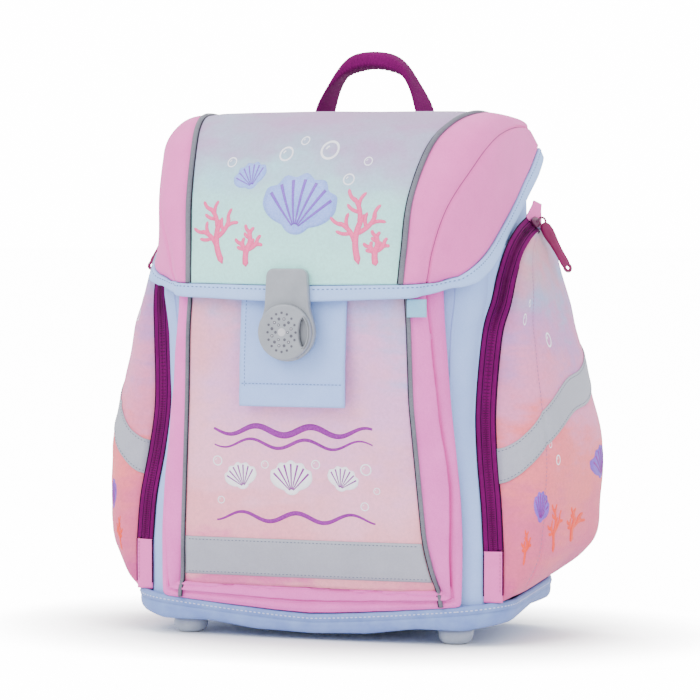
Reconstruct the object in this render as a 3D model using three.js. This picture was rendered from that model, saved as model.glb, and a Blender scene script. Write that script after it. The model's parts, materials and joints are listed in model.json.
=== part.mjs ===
// School ransel: a boxy children's satchel with a curved lid, a front pocket, two side pockets,
// a moulded base on feet, a carry handle and padded shoulder straps. Millimetres, Z up, front towards -Y.
import * as THREE from 'three';

// Overall sizes. Z counts from the floor, Y from a line a little in front of the middle of the base.
const lidTop = 404;
const lidLow = 260;
const lidHalf = 141;
const lidFront = -79;
const lidBack = 126;
const lidWall = 3;
const bindingWall = 4;
const bodyHalf = 133;
const bodyFront = -31;
const bodyBack = 122;
const bodyFloor = 16;
const bodyWall = 3;
const bodyCorner = 27;
const pipingRadius = 2;

// Front pocket
const pocketHalf = 107;
const pocketDepth = 31;
const pocketTop = 322;
const pocketFoot = 36;
const clothWall = 2.5;

// Side pockets
const sideSwell = 64;
const sideOut = bodyHalf + sideSwell;
const sideBack = 118;
const tapeWidth = 15;
const tapeWall = 1.6;
const footTabStand = 3.5;

// Base tray and feet
const baseHalf = 153;
const baseFront = -35;
const baseBack = 125;
const baseWall = 3;
const baseCorner = 37;
const footRadius = 13.5;
const footSpread = 109;
const footFront = -10;
const rearFootSpread = 70;
const rearFootBack = 86;

// Latch, patch, stripes and small trim
const patchWidth = 84;
const patchWall = 2.6;
const patchTop = 303;
const patchFoot = 181;
const tabTop = 262.3;
const tabDrop = 13.3;
const tabWidth = 15;
const latchHalf = 22;
const latchCentre = 237.5;
const latchTop = 285;
const latchPlateDepth = 6;
const latchDiscDepth = 5;
const stripeHeight = 26;
const frontStripeHeight = 30;
const stripeWall = 0.8;

// Handle, back and straps
const handleHalf = 43;
const handleRise = 46;
const handleTop = lidTop + handleRise;
const handleWidth = 27;
const handlePad = 10;
const handleBase = 112;
const panelHalf = 118;
const panelWall = 6;
const padWall = 9;
const strapWidth = 60;
const strapWall = 11;
const webbingWidth = 25;
const webbingWall = 2;
const adjusterWall = 3;
const pullerLength = 42;

// Gap left between pieces that touch on the real bag, and the wider one between folded layers
const touch = 0.3;

const V = (x, y, z) => new THREE.Vector3(x, y, z);
const mix = (a, b, t) => a + (b - a) * t;
const clamp = (v, low, high) => Math.min(high, Math.max(low, v));

// One value of a smooth curve through a list, at a position counted in list steps
function smooth(list, at) {
  const last = list.length - 1;
  const i = clamp(Math.floor(at), 0, last - 1);
  const t = at - i;
  const p1 = list[i];
  const p2 = list[i + 1];
  const p0 = i > 0 ? list[i - 1] : 2 * p1 - p2;
  const p3 = i < last - 1 ? list[i + 2] : 2 * p2 - p1;
  if (t < 0) return p1 + (p2 - p1) * t;
  if (t > 1) return p2 + (p2 - p1) * (t - 1);
  return 0.5 * (2 * p1 + (p2 - p0) * t + (2 * p0 - 5 * p1 + 4 * p2 - p3) * t * t
    + (3 * p1 - p0 - 3 * p2 + p3) * t * t * t);
}

// Value of a named column where another rising column has the given value, in straight steps
function lookUp(table, keyColumn, key, column) {
  const first = table[0];
  const last = table[table.length - 1];
  if (key <= first[keyColumn]) return first[column];
  if (key >= last[keyColumn]) return last[column];
  const i = table.findIndex((row) => row[keyColumn] > key) - 1;
  const t = (key - table[i][keyColumn]) / (table[i + 1][keyColumn] - table[i][keyColumn]);
  return mix(table[i][column], table[i + 1][column], t);
}

// Rows of numbers turned into rows with named columns
function named(columns, rows) {
  return rows.map((row) => Object.fromEntries(columns.map((name, i) => [name, row[i]])));
}

// Closed body from points and triangles, turned so its faces look outward
function solid(points, faces) {
  const tetra = (f) => points[f[0]].dot(V(0, 0, 0).crossVectors(points[f[1]], points[f[2]]));
  const volume = faces.reduce((sum, f) => sum + tetra(f), 0);
  const order = volume < 0 ? faces.map((f) => [f[0], f[2], f[1]]) : faces;
  const geometry = new THREE.BufferGeometry();
  const numbers = points.flatMap((p) => [p.x, p.y, p.z]);
  geometry.setAttribute('position', new THREE.Float32BufferAttribute(numbers, 3));
  geometry.setIndex(order.flat());
  geometry.computeVertexNormals();
  return geometry;
}

// Cloth or moulding of even thickness: a grid of outer points, thickened towards an inner point
function sheet(grid, thickness, inside) {
  const rows = grid.length;
  const columns = grid[0].length;
  const points = grid.flat().map((p) => p.clone());
  for (let i = 0; i < rows; i += 1) {
    for (let j = 0; j < columns; j += 1) {
      const along = grid[Math.min(i + 1, rows - 1)][j].clone().sub(grid[Math.max(i - 1, 0)][j]);
      const across = grid[i][Math.min(j + 1, columns - 1)].clone().sub(grid[i][Math.max(j - 1, 0)]);
      const normal = along.cross(across).normalize();
      const target = typeof inside === 'function' ? inside(grid[i][j]) : inside;
      if (normal.dot(target.clone().sub(grid[i][j])) < 0) normal.negate();
      points.push(grid[i][j].clone().addScaledVector(normal, thickness));
    }
  }
  const faces = [];
  const half = rows * columns;
  const quad = (a, b, c, d) => faces.push([a, b, c], [a, c, d]);
  for (let i = 0; i < rows - 1; i += 1) {
    for (let j = 0; j < columns - 1; j += 1) {
      const a = i * columns + j;
      quad(a, a + 1, a + columns + 1, a + columns);
      quad(half + a, half + a + columns, half + a + columns + 1, half + a + 1);
    }
  }
  const border = [];
  for (let j = 0; j < columns - 1; j += 1) border.push(j);
  for (let i = 0; i < rows - 1; i += 1) border.push(i * columns + columns - 1);
  for (let j = columns - 1; j > 0; j -= 1) border.push((rows - 1) * columns + j);
  for (let i = rows - 1; i > 0; i -= 1) border.push(i * columns);
  border.forEach((a, k) => {
    const b = border[(k + 1) % border.length];
    quad(a, half + a, half + b, b);
  });
  return solid(points, faces);
}

// Closed body through rings of equal count, closed by a fan at the first and the last ring
function rings(loops) {
  const count = loops[0].length;
  const points = loops.flat();
  const faces = [];
  for (let i = 0; i < loops.length - 1; i += 1) {
    for (let j = 0; j < count; j += 1) {
      const a = i * count + j;
      const b = i * count + ((j + 1) % count);
      faces.push([a, b, b + count], [a, b + count, a + count]);
    }
  }
  const middle = (loop) => loop.reduce((sum, p) => sum.add(p), V(0, 0, 0)).divideScalar(count);
  points.push(middle(loops[0]), middle(loops[loops.length - 1]));
  const start = loops.length * count;
  for (let j = 0; j < count; j += 1) {
    const next = (j + 1) % count;
    faces.push([start, next, j]);
    faces.push([start + 1, (loops.length - 1) * count + j, (loops.length - 1) * count + next]);
  }
  return solid(points, faces);
}

// Band with rounded edges along stations that give centre, width direction, width and thickness
function band(stations, round = 0.35) {
  const last = stations.length - 1;
  const loops = stations.map((s, i) => {
    const along = stations[Math.min(i + 1, last)].at.clone().sub(stations[Math.max(i - 1, 0)].at).normalize();
    const wide = s.wide.clone().addScaledVector(along, -s.wide.dot(along)).normalize();
    const out = V(0, 0, 0).crossVectors(along, wide).normalize();
    const a = s.width / 2;
    const b = s.wall / 2;
    const r = Math.min(a, b) * round * 2;
    const corners = [[a, -b + r], [a, b - r], [a - r, b], [-a + r, b], [-a, b - r], [-a, -b + r], [-a + r, -b], [a - r, -b]];
    return corners.map(([u, v]) => s.at.clone().addScaledVector(wide, u).addScaledVector(out, v));
  });
  return rings(loops);
}

// Round cord along a smooth curve
function cord(points, radius, steps, sides = 6) {
  const outline = Array.from({ length: sides }, (_, i) => {
    const a = (i / sides) * Math.PI * 2;
    return new THREE.Vector2(Math.cos(a) * radius, Math.sin(a) * radius);
  });
  const path = new THREE.CatmullRomCurve3(points);
  const shape = new THREE.Shape(outline);
  return new THREE.ExtrudeGeometry(shape, { steps, bevelEnabled: false, extrudePath: path });
}

// Points of a rounded rectangle between two X and two Y limits, starting at the middle of the front
function roundedLoop(half, front, back, corner, perCorner, perSide) {
  const points = [];
  const r = Math.min(corner, half * 0.9, (back - front) * 0.45);
  const arc = (cx, cy, from) => {
    for (let i = 0; i <= perCorner; i += 1) {
      const a = from + (i / perCorner) * (Math.PI / 2);
      points.push([cx + r * Math.cos(a), cy + r * Math.sin(a)]);
    }
  };
  const side = (x0, y0, x1, y1) => {
    for (let i = 1; i < perSide; i += 1) points.push([mix(x0, x1, i / perSide), mix(y0, y1, i / perSide)]);
  };
  arc(half - r, front + r, -Math.PI / 2);
  side(half, front + r, half, back - r);
  arc(half - r, back - r, 0);
  side(half - r, back, -half + r, back);
  arc(-half + r, back - r, Math.PI / 2);
  side(-half, back - r, -half, front + r);
  arc(-half + r, front + r, Math.PI);
  side(-half + r, front, half - r, front);
  return points;
}

const material = (color, roughness, metalness = 0) => new THREE.MeshStandardMaterial({ color, roughness, metalness });
const group = new THREE.Group();
group.name = 'school_ransel';

function add(name, geometry, color, roughness = 0.85, metalness = 0) {
  const mesh = new THREE.Mesh(geometry, material(color, roughness, metalness));
  mesh.name = name;
  group.add(mesh);
  return mesh;
}

const pink = 0xe6a6cf;
const lightBlue = 0xb8c9e6;
const printMint = 0xc6e0de;
const printLilac = 0xe2b4cc;
const trimGrey = 0x8d8792;

// Lid: rows run from the lower front edge over the top to the back. Columns across are the middle,
// the piping, the corner seam, the inner line of the edge binding and the outer edge of the binding.
// X in shares of lidHalf, Y from lidFront to lidBack, Z from lidLow to lidTop.
const lidMiddle = named(['y', 'z', 'pipingX', 'pipingY', 'pipingZ'], [
  [0.000, 0.000, 0.603, 0.029, 0.021],
  [0.002, 0.083, 0.603, 0.039, 0.090],
  [0.020, 0.271, 0.613, 0.059, 0.271],
  [0.059, 0.535, 0.631, 0.093, 0.528],
  [0.180, 0.806, 0.674, 0.210, 0.792],
  [0.327, 0.944, 0.730, 0.349, 0.931],
  [0.517, 1.000, 0.780, 0.517, 0.992],
  [0.727, 1.000, 0.794, 0.727, 0.986],
  [0.932, 0.989, 0.794, 0.932, 0.965],
  [1.000, 0.951, 0.780, 1.000, 0.931],
]);
const lidSide = named(['seamX', 'seamY', 'seamZ', 'innerX', 'innerY', 'innerZ', 'edgeX', 'edgeY', 'edgeZ'], [
  [0.716, 0.093, 0.031, 0.809, 0.141, 0.042, 0.844, 0.166, 0.042],
  [0.720, 0.107, 0.097, 0.816, 0.161, 0.097, 0.887, 0.200, 0.076],
  [0.748, 0.107, 0.264, 0.908, 0.210, 0.167, 0.957, 0.239, 0.111],
  [0.816, 0.141, 0.493, 0.943, 0.337, 0.250, 0.979, 0.366, 0.194],
  [0.894, 0.288, 0.712, 0.955, 0.507, 0.385, 0.976, 0.530, 0.335],
  [0.934, 0.395, 0.822, 0.966, 0.639, 0.514, 0.986, 0.665, 0.464],
  [0.942, 0.541, 0.888, 0.970, 0.737, 0.618, 0.992, 0.766, 0.562],
  [0.935, 0.727, 0.920, 0.975, 0.834, 0.715, 1.000, 0.863, 0.660],
  [0.905, 0.932, 0.912, 0.965, 0.940, 0.812, 0.993, 0.945, 0.750],
  [0.850, 1.000, 0.870, 0.925, 0.995, 0.800, 0.950, 1.000, 0.745],
]);

// Point of the lid: row counted along the table, column 0 middle, 1 piping, 2 seam, 3 inner line, 4 edge
function lidPoint(side, row, column) {
  const of = (table, name) => smooth(table.map((r) => r[name]), row);
  const xs = [0, of(lidMiddle, 'pipingX'), of(lidSide, 'seamX'), of(lidSide, 'innerX'), of(lidSide, 'edgeX')];
  const ys = [of(lidMiddle, 'y'), of(lidMiddle, 'pipingY'), of(lidSide, 'seamY'), of(lidSide, 'innerY'), of(lidSide, 'edgeY')];
  const zs = [of(lidMiddle, 'z'), of(lidMiddle, 'pipingZ'), of(lidSide, 'seamZ'), of(lidSide, 'innerZ'), of(lidSide, 'edgeZ')];
  const bow = 1 - (1 - Math.min(column, 1)) ** 2;
  const x = column < 1 ? xs[1] * column : smooth(xs, column);
  const y = column < 1 ? mix(ys[0], ys[1], column * bow) : smooth(ys, column);
  const z = column < 1 ? mix(zs[0], zs[1], column * bow) : smooth(zs, column);
  return V(side * x * lidHalf, mix(lidFront, lidBack, y), mix(lidLow, lidTop, z));
}

// Step in column units that matches a distance in millimetres beside a column line
function lidStep(row, column, towards, distance) {
  const here = lidPoint(1, row, column);
  return (distance / here.distanceTo(lidPoint(1, row, column + towards * 0.25))) * 0.25 * towards;
}

const lidInside = V(0, 60, 180);
const lidRows = lidMiddle.length - 1;
const spread = (from, to, steps) => Array.from({ length: steps + 1 }, (_, i) => mix(from, to, i / steps));

function lidCentre() {
  const grid = spread(1.03, lidRows, 15).map((row) => {
    const edge = 1 + lidStep(row, 1, -1, pipingRadius + touch * 3);
    return spread(-edge, edge, 8).map((c) => lidPoint(Math.sign(c) || 1, row, Math.abs(c)));
  });
  return sheet(grid, lidWall, lidInside);
}

function lidWing(side) {
  const grid = spread(1.03, lidRows, 14).map((row) => {
    const start = 1 + lidStep(row, 1, 1, pipingRadius + touch * 3);
    const end = 3 + lidStep(row, 3, -1, touch * 3);
    return spread(start, end, 6).map((c) => lidPoint(side, row, c));
  });
  return sheet(grid, lidWall, lidInside);
}

// Stitched binding: down one side edge, along the lower front edge and up the other side
function lidBinding() {
  const sideRows = spread(lidRows, 1.3, 12);
  const path = [];
  sideRows.forEach((row) => path.push([-1, row, 3, row, 4]));
  path.push([-1, 1, 3, 0.65, 3.9], [-1, 1, 2.7, 0, 3.6], [-1, 1, 2, 0, 2], [-1, 1, 1.3, 0, 1.3]);
  spread(-1, 1, 8).forEach((c) => path.push([Math.sign(c) || 1, 1, Math.abs(c), 0, Math.abs(c)]));
  path.push([1, 1, 1.3, 0, 1.3], [1, 1, 2, 0, 2], [1, 1, 2.7, 0, 3.6], [1, 1, 3, 0.65, 3.9]);
  [...sideRows].reverse().forEach((row) => path.push([1, row, 3, row, 4]));
  const grid = path.map(([side, rowIn, colIn, rowOut, colOut]) => {
    const inner = lidPoint(side, rowIn, colIn);
    const outer = lidPoint(side, rowOut, colOut);
    return [inner, inner.clone().lerp(outer, 0.5), outer];
  });
  return sheet(grid, bindingWall, lidInside);
}

function lidPiping(side) {
  const points = spread(1.08, lidRows - 0.08, 14).map((row) => {
    const here = lidPoint(side, row, 1);
    return here.addScaledVector(lidInside.clone().sub(here).normalize(), 1);
  });
  return cord(points, pipingRadius, 22);
}

add('lid_centre_panel', lidCentre(), printMint);
add('lid_binding', lidBinding(), lightBlue);
for (const [side, word] of [[1, 'right'], [-1, 'left']]) {
  add(`lid_wing_${word}`, lidWing(side), pink);
  add(`lid_piping_${word}`, lidPiping(side), trimGrey, 0.6);
}

// Body: a cloth box open at the top. Half width in shares of bodyHalf over the height in shares of lidTop.
const bodyWaist = named(['height', 'half'], [
  [0.00, 0.960], [0.10, 0.985], [0.18, 1.000], [0.26, 0.985], [0.36, 0.955], [0.45, 0.940],
  [0.58, 0.955], [0.65, 0.985], [0.75, 0.990], [1.00, 0.975],
]);
// Height of the open rim under the lid, in shares of lidTop, over Y in shares of bodyBack
const bodyRim = named(['y', 'z'], [
  [-0.04, 0.705], [0.10, 0.722], [0.22, 0.772], [0.43, 0.835], [0.60, 0.881], [0.76, 0.915], [0.92, 0.945], [1.00, 0.955],
]);

function rimHeight(x, y) {
  const side = lidTop * lookUp(bodyRim, 'y', y / bodyBack, 'z');
  if (y > 0) return side;
  const inward = clamp((bodyHalf - Math.abs(x)) / bodyCorner, 0, 1);
  return mix(lidTop * bodyRim[0].z, lidTop * 0.870, inward) + (Math.abs(x) < bodyHalf * 0.6 ? lidTop * 0.02 : 0);
}

function bodyLoop(height, inset) {
  const nominal = roundedLoop(bodyHalf, bodyFront, bodyBack, bodyCorner, 3, 4);
  return nominal.map(([x, y]) => {
    const rim = rimHeight(x, y);
    const z = mix(bodyFloor + touch * 4, rim, height);
    const waist = lookUp(bodyWaist, 'height', z / lidTop, 'half');
    const depthMiddle = (bodyFront + bodyBack) / 2;
    const depthHalf = (bodyBack - bodyFront) / 2;
    return V(x * waist * (1 - inset / bodyHalf), depthMiddle + (y - depthMiddle) * (1 - inset / depthHalf), z);
  });
}

function bodyShell() {
  const loops = [bodyLoop(0, 32), bodyLoop(0.015, 14), bodyLoop(0.04, 4)];
  [0.09, 0.2, 0.34, 0.45, 0.6, 0.74, 0.87, 1].forEach((h) => loops.push(bodyLoop(h, 0)));
  [1, 0.74, 0.45, 0.1].forEach((h) => loops.push(bodyLoop(h, bodyWall)));
  loops.push(bodyLoop(0.055, bodyWall + 5), bodyLoop(0.03, 34));
  return rings(loops);
}
add('body_shell', bodyShell(), lightBlue);

// Base tray: rim and lower edge heights in shares of bodyFloor, by how far round from the front middle
function baseRim(x, y) {
  const across = Math.abs(x) / baseHalf;
  if (y < 0) return bodyFloor * (1.3 + 0.85 * across ** 1.3);
  return bodyFloor * (2.15 + (0.6 * y) / baseBack);
}

function baseUnder(x, y) {
  const across = Math.abs(x) / baseHalf;
  const rise = 0.42 + 0.35 * clamp((across - 0.3) / 0.24, 0, 1) + 0.35 * clamp((across - 0.8) / 0.2, 0, 1);
  const towardsBack = 0.45 * clamp(y / (baseBack * 0.4), 0, 1) * clamp((across - 0.72) / 0.24, 0, 1);
  return bodyFloor * (rise + towardsBack);
}

function baseLoop(scale, inset, height) {
  return roundedLoop(baseHalf, baseFront, baseBack, baseCorner, 5, 4).map(([x, y]) => {
    const depthMiddle = (baseFront + baseBack) / 2;
    const px = x * scale * (1 - inset / baseHalf);
    const py = depthMiddle + (y - depthMiddle) * scale * (1 - (inset * 2) / (baseBack - baseFront));
    const low = baseUnder(px, py);
    const high = baseRim(x, y);
    return V(px, py, height(low, high));
  });
}

function baseTray() {
  const loops = [
    baseLoop(0.3, 0, (low) => low),
    baseLoop(0.54, 0, (low) => low),
    baseLoop(0.8, 0, (low) => low),
    baseLoop(0.965, 0, (low) => low),
    baseLoop(1, 0, (low) => low + 4),
    baseLoop(1, 0, (low, high) => high),
    baseLoop(1, baseWall, (low, high) => high),
    baseLoop(0.995, baseWall, (low) => low + 5.5),
    baseLoop(0.965, baseWall, (low) => low + baseWall),
    baseLoop(0.8, 0, (low) => low + baseWall),
    baseLoop(0.54, 0, (low) => low + baseWall),
    baseLoop(0.3, 0, (low) => low + baseWall),
  ];
  return rings(loops);
}
add('base_tray', baseTray(), 0x9fb1dc, 0.5);

// A foot ends just under the tray, whose underside runs in straight steps between its rings
function foot(x, y, spare) {
  const top = Math.min(...[-1, 0, 1].map((s) => baseUnder(x + s * footRadius, y))) - spare;
  const profile = [[0, 0], [0.55, 0], [0.82, 0.16], [0.97, 0.45], [1, 0.75], [0.9, 1], [0, 1]];
  const outline = profile.map(([r, h]) => new THREE.Vector2(r * footRadius, h * top));
  const geometry = new THREE.LatheGeometry(outline, 14);
  geometry.rotateX(Math.PI / 2);
  geometry.translate(x, y, 0);
  return geometry;
}
add('foot_front_right', foot(footSpread, footFront, touch * 3), 0xc4ccd0, 0.45);
add('foot_front_left', foot(-footSpread, footFront, touch * 3), 0xc4ccd0, 0.45);
add('foot_rear_right', foot(rearFootSpread, rearFootBack, 0), 0xc4ccd0, 0.45);
add('foot_rear_left', foot(-rearFootSpread, rearFootBack, 0), 0xc4ccd0, 0.45);

// Front pocket: half width at the piping, how far it stands out and half width where it meets the body.
// Heights run from pocketFoot to pocketTop, widths in shares of pocketHalf, depth of pocketDepth.
const pocketRows = named(['z', 'half', 'out', 'join'], [
  [0.00, 0.995, 0.08, 1.110],
  [0.05, 0.955, 0.36, 1.125],
  [0.15, 0.916, 0.68, 1.135],
  [0.27, 0.893, 0.78, 1.120],
  [0.52, 0.845, 0.98, 1.045],
  [0.71, 0.832, 1.02, 1.000],
  [0.83, 0.810, 1.00, 0.985],
  [0.93, 0.790, 0.92, 0.970],
  [1.00, 0.770, 0.62, 0.950],
]);

function pocketRow(z) {
  const share = (z - pocketFoot) / (pocketTop - pocketFoot);
  const get = (name) => lookUp(pocketRows, 'z', share, name);
  return {
    half: get('half') * pocketHalf,
    face: bodyFront - get('out') * pocketDepth,
    join: get('join') * pocketHalf,
  };
}

function pocketFace(x, z) {
  const row = pocketRow(z);
  return V(x, row.face - 2.2 * (1 - (x / row.half) ** 2), z);
}

const pocketInside = V(0, 60, 200);

function pocketPanel() {
  const heights = [0.02, 0.05, 0.1, 0.15, 0.27, 0.4, 0.52, 0.62, 0.71, 0.83, 0.93, 1];
  const grid = heights.map((h) => {
    const z = mix(pocketFoot, pocketTop, h);
    const edge = pocketRow(z).half - pipingRadius - touch;
    return spread(-edge, edge, 8).map((x) => pocketFace(x, z));
  });
  return sheet(grid, clothWall, pocketInside);
}

function pocketGusset() {
  const heights = [1, 0.93, 0.83, 0.71, 0.62, 0.52, 0.4, 0.27, 0.15, 0.08, 0.03];
  const path = [];
  const rise = 9;
  for (const h of heights) path.push([-1, mix(pocketFoot, pocketTop, h)]);
  const sideStation = (side, z) => {
    const row = pocketRow(z);
    const start = V(side * (row.half + pipingRadius + touch * 3), row.face + 1, z);
    const end = V(side * row.join, bodyFront - touch * 2, z);
    const bow = start.clone().lerp(end, 0.5).add(V(side * 5, -4, 0));
    return [start, start.clone().lerp(bow, 0.55), bow, bow.clone().lerp(end, 0.55), end];
  };
  const lowStation = (share) => {
    const half = pocketRow(pocketFoot).half;
    const start = V(share * (half + 1), pocketRow(pocketFoot).face - 2.4, pocketFoot + 1);
    const x = share * pocketRow(pocketFoot).join * 0.98;
    const end = V(x, bodyFront - 1.2, Math.max(pocketFoot - rise, baseRim(x, bodyFront) + 2.5));
    const bow = start.clone().lerp(end, 0.5).add(V(0, -2.2, -1));
    return [start, start.clone().lerp(bow, 0.55), bow, bow.clone().lerp(end, 0.55), end];
  };
  const left = path.map(([side, z]) => sideStation(side, z));
  const low = [-0.92, -0.6, -0.2, 0.2, 0.6, 0.92].map(lowStation);
  const right = [...path].reverse().map(([, z]) => sideStation(1, z));
  return sheet([...left, ...low, ...right], 2, pocketInside);
}

function pocketPiping(side) {
  const heights = [0.98, 0.9, 0.8, 0.7, 0.6, 0.5, 0.4, 0.3, 0.2, 0.12, 0.06, 0.03];
  const points = heights.map((h) => {
    const z = mix(pocketFoot, pocketTop, h);
    const row = pocketRow(z);
    return V(side * row.half, row.face + 0.6, z);
  });
  return cord(points, pipingRadius, 16);
}

add('pocket_front_panel', pocketPanel(), printLilac);
add('pocket_gusset', pocketGusset(), pink);
add('pocket_piping_right', pocketPiping(1), trimGrey, 0.6);
add('pocket_piping_left', pocketPiping(-1), trimGrey, 0.6);

// Reflective stripe across the lower part of the front pocket
function frontStripe() {
  const low = pocketFoot + 13;
  const grid = spread(low, low + frontStripeHeight, 3).map((z) => {
    const edge = pocketRow(z).half - pipingRadius - touch * 2;
    return spread(-edge, edge, 10).map((x) => pocketFace(x, z).add(V(0, -stripeWall - touch * 2, 0)));
  });
  return sheet(grid, stripeWall, pocketInside);
}
add('front_stripe', frontStripe(), 0xb6bcc6, 0.35);

// Closure patch: a stiff cloth flap that hangs from under the lid behind the latch
function patch() {
  const stations = [1, 0.85, 0.68, 0.5, 0.32, 0.14, 0].map((share) => {
    const z = mix(patchFoot, patchTop, share);
    const face = pocketFace(0, z).y;
    const stand = mix(12, touch + 0.55, clamp(share * 1.2, 0, 1) ** 0.8);
    const y = Math.max(face - stand, lidFront + lidWall + bindingWall + touch);
    return { at: V(0, y - patchWall / 2 + 0.4, z), wide: V(1, 0, 0), width: patchWidth, wall: patchWall };
  });
  return band(stations, 0.3);
}
add('closure_patch', patch(), 0xb9cdec);

// Latch: flat plate on the lid running into a round body, with a raised disc and a finger slot
function latchOutline(grow) {
  const shape = new THREE.Shape();
  const r = latchHalf + grow;
  const top = latchTop + grow;
  const neck = latchHalf * 0.74 + grow;
  const corner = 6;
  shape.moveTo(-neck, top - corner);
  shape.quadraticCurveTo(-neck, top, -neck + corner, top);
  shape.lineTo(neck - corner, top);
  shape.quadraticCurveTo(neck, top, neck, top - corner);
  shape.lineTo(neck + 1.2, latchCentre + latchHalf * 0.95);
  shape.quadraticCurveTo(r, latchCentre + latchHalf * 0.5, r, latchCentre);
  shape.absarc(0, latchCentre, r, 0, -Math.PI, true);
  shape.quadraticCurveTo(-r, latchCentre + latchHalf * 0.5, -neck - 1.2, latchCentre + latchHalf * 0.95);
  shape.lineTo(-neck, top - corner);
  return shape;
}

function slot(halfWide, halfHigh) {
  const hole = new THREE.Path();
  const x = latchHalf * 0.66;
  hole.absellipse(x, latchCentre, halfWide, halfHigh, 0, Math.PI * 2, true);
  return hole;
}

// Extruded towards the front: the outline is drawn in X and Z
function standing(shape, depth, front) {
  const geometry = new THREE.ExtrudeGeometry(shape, { depth, bevelEnabled: false, curveSegments: 10 });
  geometry.rotateX(Math.PI / 2);
  geometry.translate(0, front + depth, 0);
  return geometry;
}

const latchBack = lidFront - touch;
const plate = standing(latchOutline(0), latchPlateDepth, latchBack - latchPlateDepth);
add('latch_plate', plate, 0xc6c6ca, 0.4);
const disc = new THREE.Shape();
disc.absarc(0, latchCentre, latchHalf - 1, 0, Math.PI * 2, false);
disc.holes.push(slot(4.6, 11.5));
const discFront = latchBack - latchPlateDepth - touch - latchDiscDepth;
add('latch_disc', standing(disc, latchDiscDepth, discFront), 0xcccccf, 0.35);

// Small woven tab that looks out from under the lid beside the right piping of the pocket
function sideTab() {
  const row = pocketRow(tabTop - tabDrop / 2);
  const x = row.half + tabWidth / 2 + touch * 1.7;
  const stations = [0, 0.55, 1].map((share) => ({
    at: V(x, row.face - pipingRadius - touch * 1.3, tabTop - tabDrop * share), wide: V(1, 0.45, 0), width: tabWidth, wall: 1.4,
  }));
  return band(stations, 0.3);
}
add('side_tab', sideTab(), 0xa6d9ee);

// Zipper line of a side pocket: X in shares of bodyHalf, Y of sideBack, Z of lidTop, turn of the tape in degrees
const zipLine = named(['x', 'y', 'z', 'turn'], [
  [1.070, -0.186, 0.180, 12],
  [1.052, -0.170, 0.264, 12],
  [1.012, -0.119, 0.360, 12],
  [0.994, -0.076, 0.450, 12],
  [1.018, -0.030, 0.580, 14],
  [1.052, 0.040, 0.641, 22],
  [1.068, 0.098, 0.688, 32],
  [1.088, 0.190, 0.735, 42],
  [1.100, 0.350, 0.767, 50],
  [1.100, 0.560, 0.786, 52],
]);

function zipPoint(side, at) {
  const get = (name) => smooth(zipLine.map((r) => r[name]), at);
  return V(side * get('x') * bodyHalf, get('y') * sideBack, get('z') * lidTop);
}

function zipFrame(side, at) {
  const along = zipPoint(side, at + 0.05).sub(zipPoint(side, at - 0.05)).normalize();
  const turn = (smooth(zipLine.map((r) => r.turn), at) * Math.PI) / 180;
  const behind = V(0, 0, 0).crossVectors(along, V(1, 0, 0)).normalize();
  const wide = V(side * Math.cos(turn), 0, 0).addScaledVector(behind, Math.sin(turn));
  wide.addScaledVector(along, -wide.dot(along)).normalize();
  return { at: zipPoint(side, at), along, wide };
}

const zipEnd = zipLine.length - 1;

function zipTape(side) {
  const stations = spread(0, zipEnd, 20).map((t) => {
    const f = zipFrame(side, t);
    return { at: f.at, wide: f.wide, width: tapeWidth, wall: tapeWall };
  });
  return band(stations, 0.3);
}

// Sewn tab at the foot of the zipper and the tip at its upper end
function zipFootTab(side) {
  const f = zipFrame(side, 0);
  const reach = f.at.z - baseRim(f.at.x, f.at.y) - footTabStand;
  const stations = [0.033, 0.39, 0.78, 1].map((share) => ({
    at: f.at.clone().add(V(0, 0, -reach * share)), wide: f.wide, width: tapeWidth - 0.5, wall: tapeWall + 0.4,
  }));
  return band(stations, 0.3);
}

function zipTip(side) {
  const f = zipFrame(side, zipEnd);
  const stations = [1, 7, 15, 21].map((rise, i) => ({
    at: f.at.clone().addScaledVector(f.along, rise), wide: f.wide, width: mix(tapeWidth, 7, i / 3), wall: tapeWall + 0.4,
  }));
  return band(stations, 0.3);
}

// Side pocket: rows upward. Front edge follows the zipper; out in shares of sideOut
const sideRows = named(['zip', 'frontZ', 'backZ', 'out', 'outBack'], [
  [-1.0, 0.094, 0.120, 0.782, 0.782],
  [-0.9, 0.120, 0.138, 0.850, 0.840],
  [-0.6, 0.150, 0.162, 0.893, 0.950],
  [0.0, 0.186, 0.198, 0.912, 1.012],
  [1.0, 0.266, 0.276, 0.930, 1.030],
  [2.0, 0.362, 0.370, 0.934, 1.030],
  [3.0, 0.450, 0.464, 0.905, 0.985],
  [4.0, 0.578, 0.602, 0.860, 0.895],
  [5.0, 0.641, 0.660, 0.838, 0.850],
  [6.0, 0.688, 0.700, 0.820, 0.820],
  [7.0, 0.735, 0.735, 0.803, 0.790],
  [8.0, 0.767, 0.762, 0.785, 0.760],
  [8.97, 0.786, 0.782, 0.772, 0.740],
]);
const sideSquare = 3.4;

function sidePoint(side, row, theta) {
  const get = (name) => smooth(sideRows.map((r) => r[name]), row);
  const zip = get('zip');
  const f = zipFrame(side, Math.max(zip, 0));
  const front = f.at.clone().addScaledVector(f.wide, tapeWidth / 2 + touch * 3);
  if (zip < 0.001) front.z = get('frontZ') * lidTop;
  const back = V(side * (bodyHalf * 0.985 + touch * 3), sideBack, get('backZ') * lidTop);
  const power = 2 / sideSquare;
  const c = Math.cos(theta);
  const u = 0.5 - 0.5 * Math.sign(c) * Math.abs(c) ** power;
  const v = Math.sin(theta) <= 1e-6 ? 0 : Math.sin(theta) ** power;
  const p = front.clone().lerp(back, u);
  p.x = mix(p.x, side * mix(get('out'), get('outBack'), u) * sideOut, v);
  return p;
}

const sideInside = (p) => V(Math.sign(p.x) * bodyHalf * 0.6, sideBack * 0.42, clamp(p.z, lidTop * 0.22, lidTop * 0.64));

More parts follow.
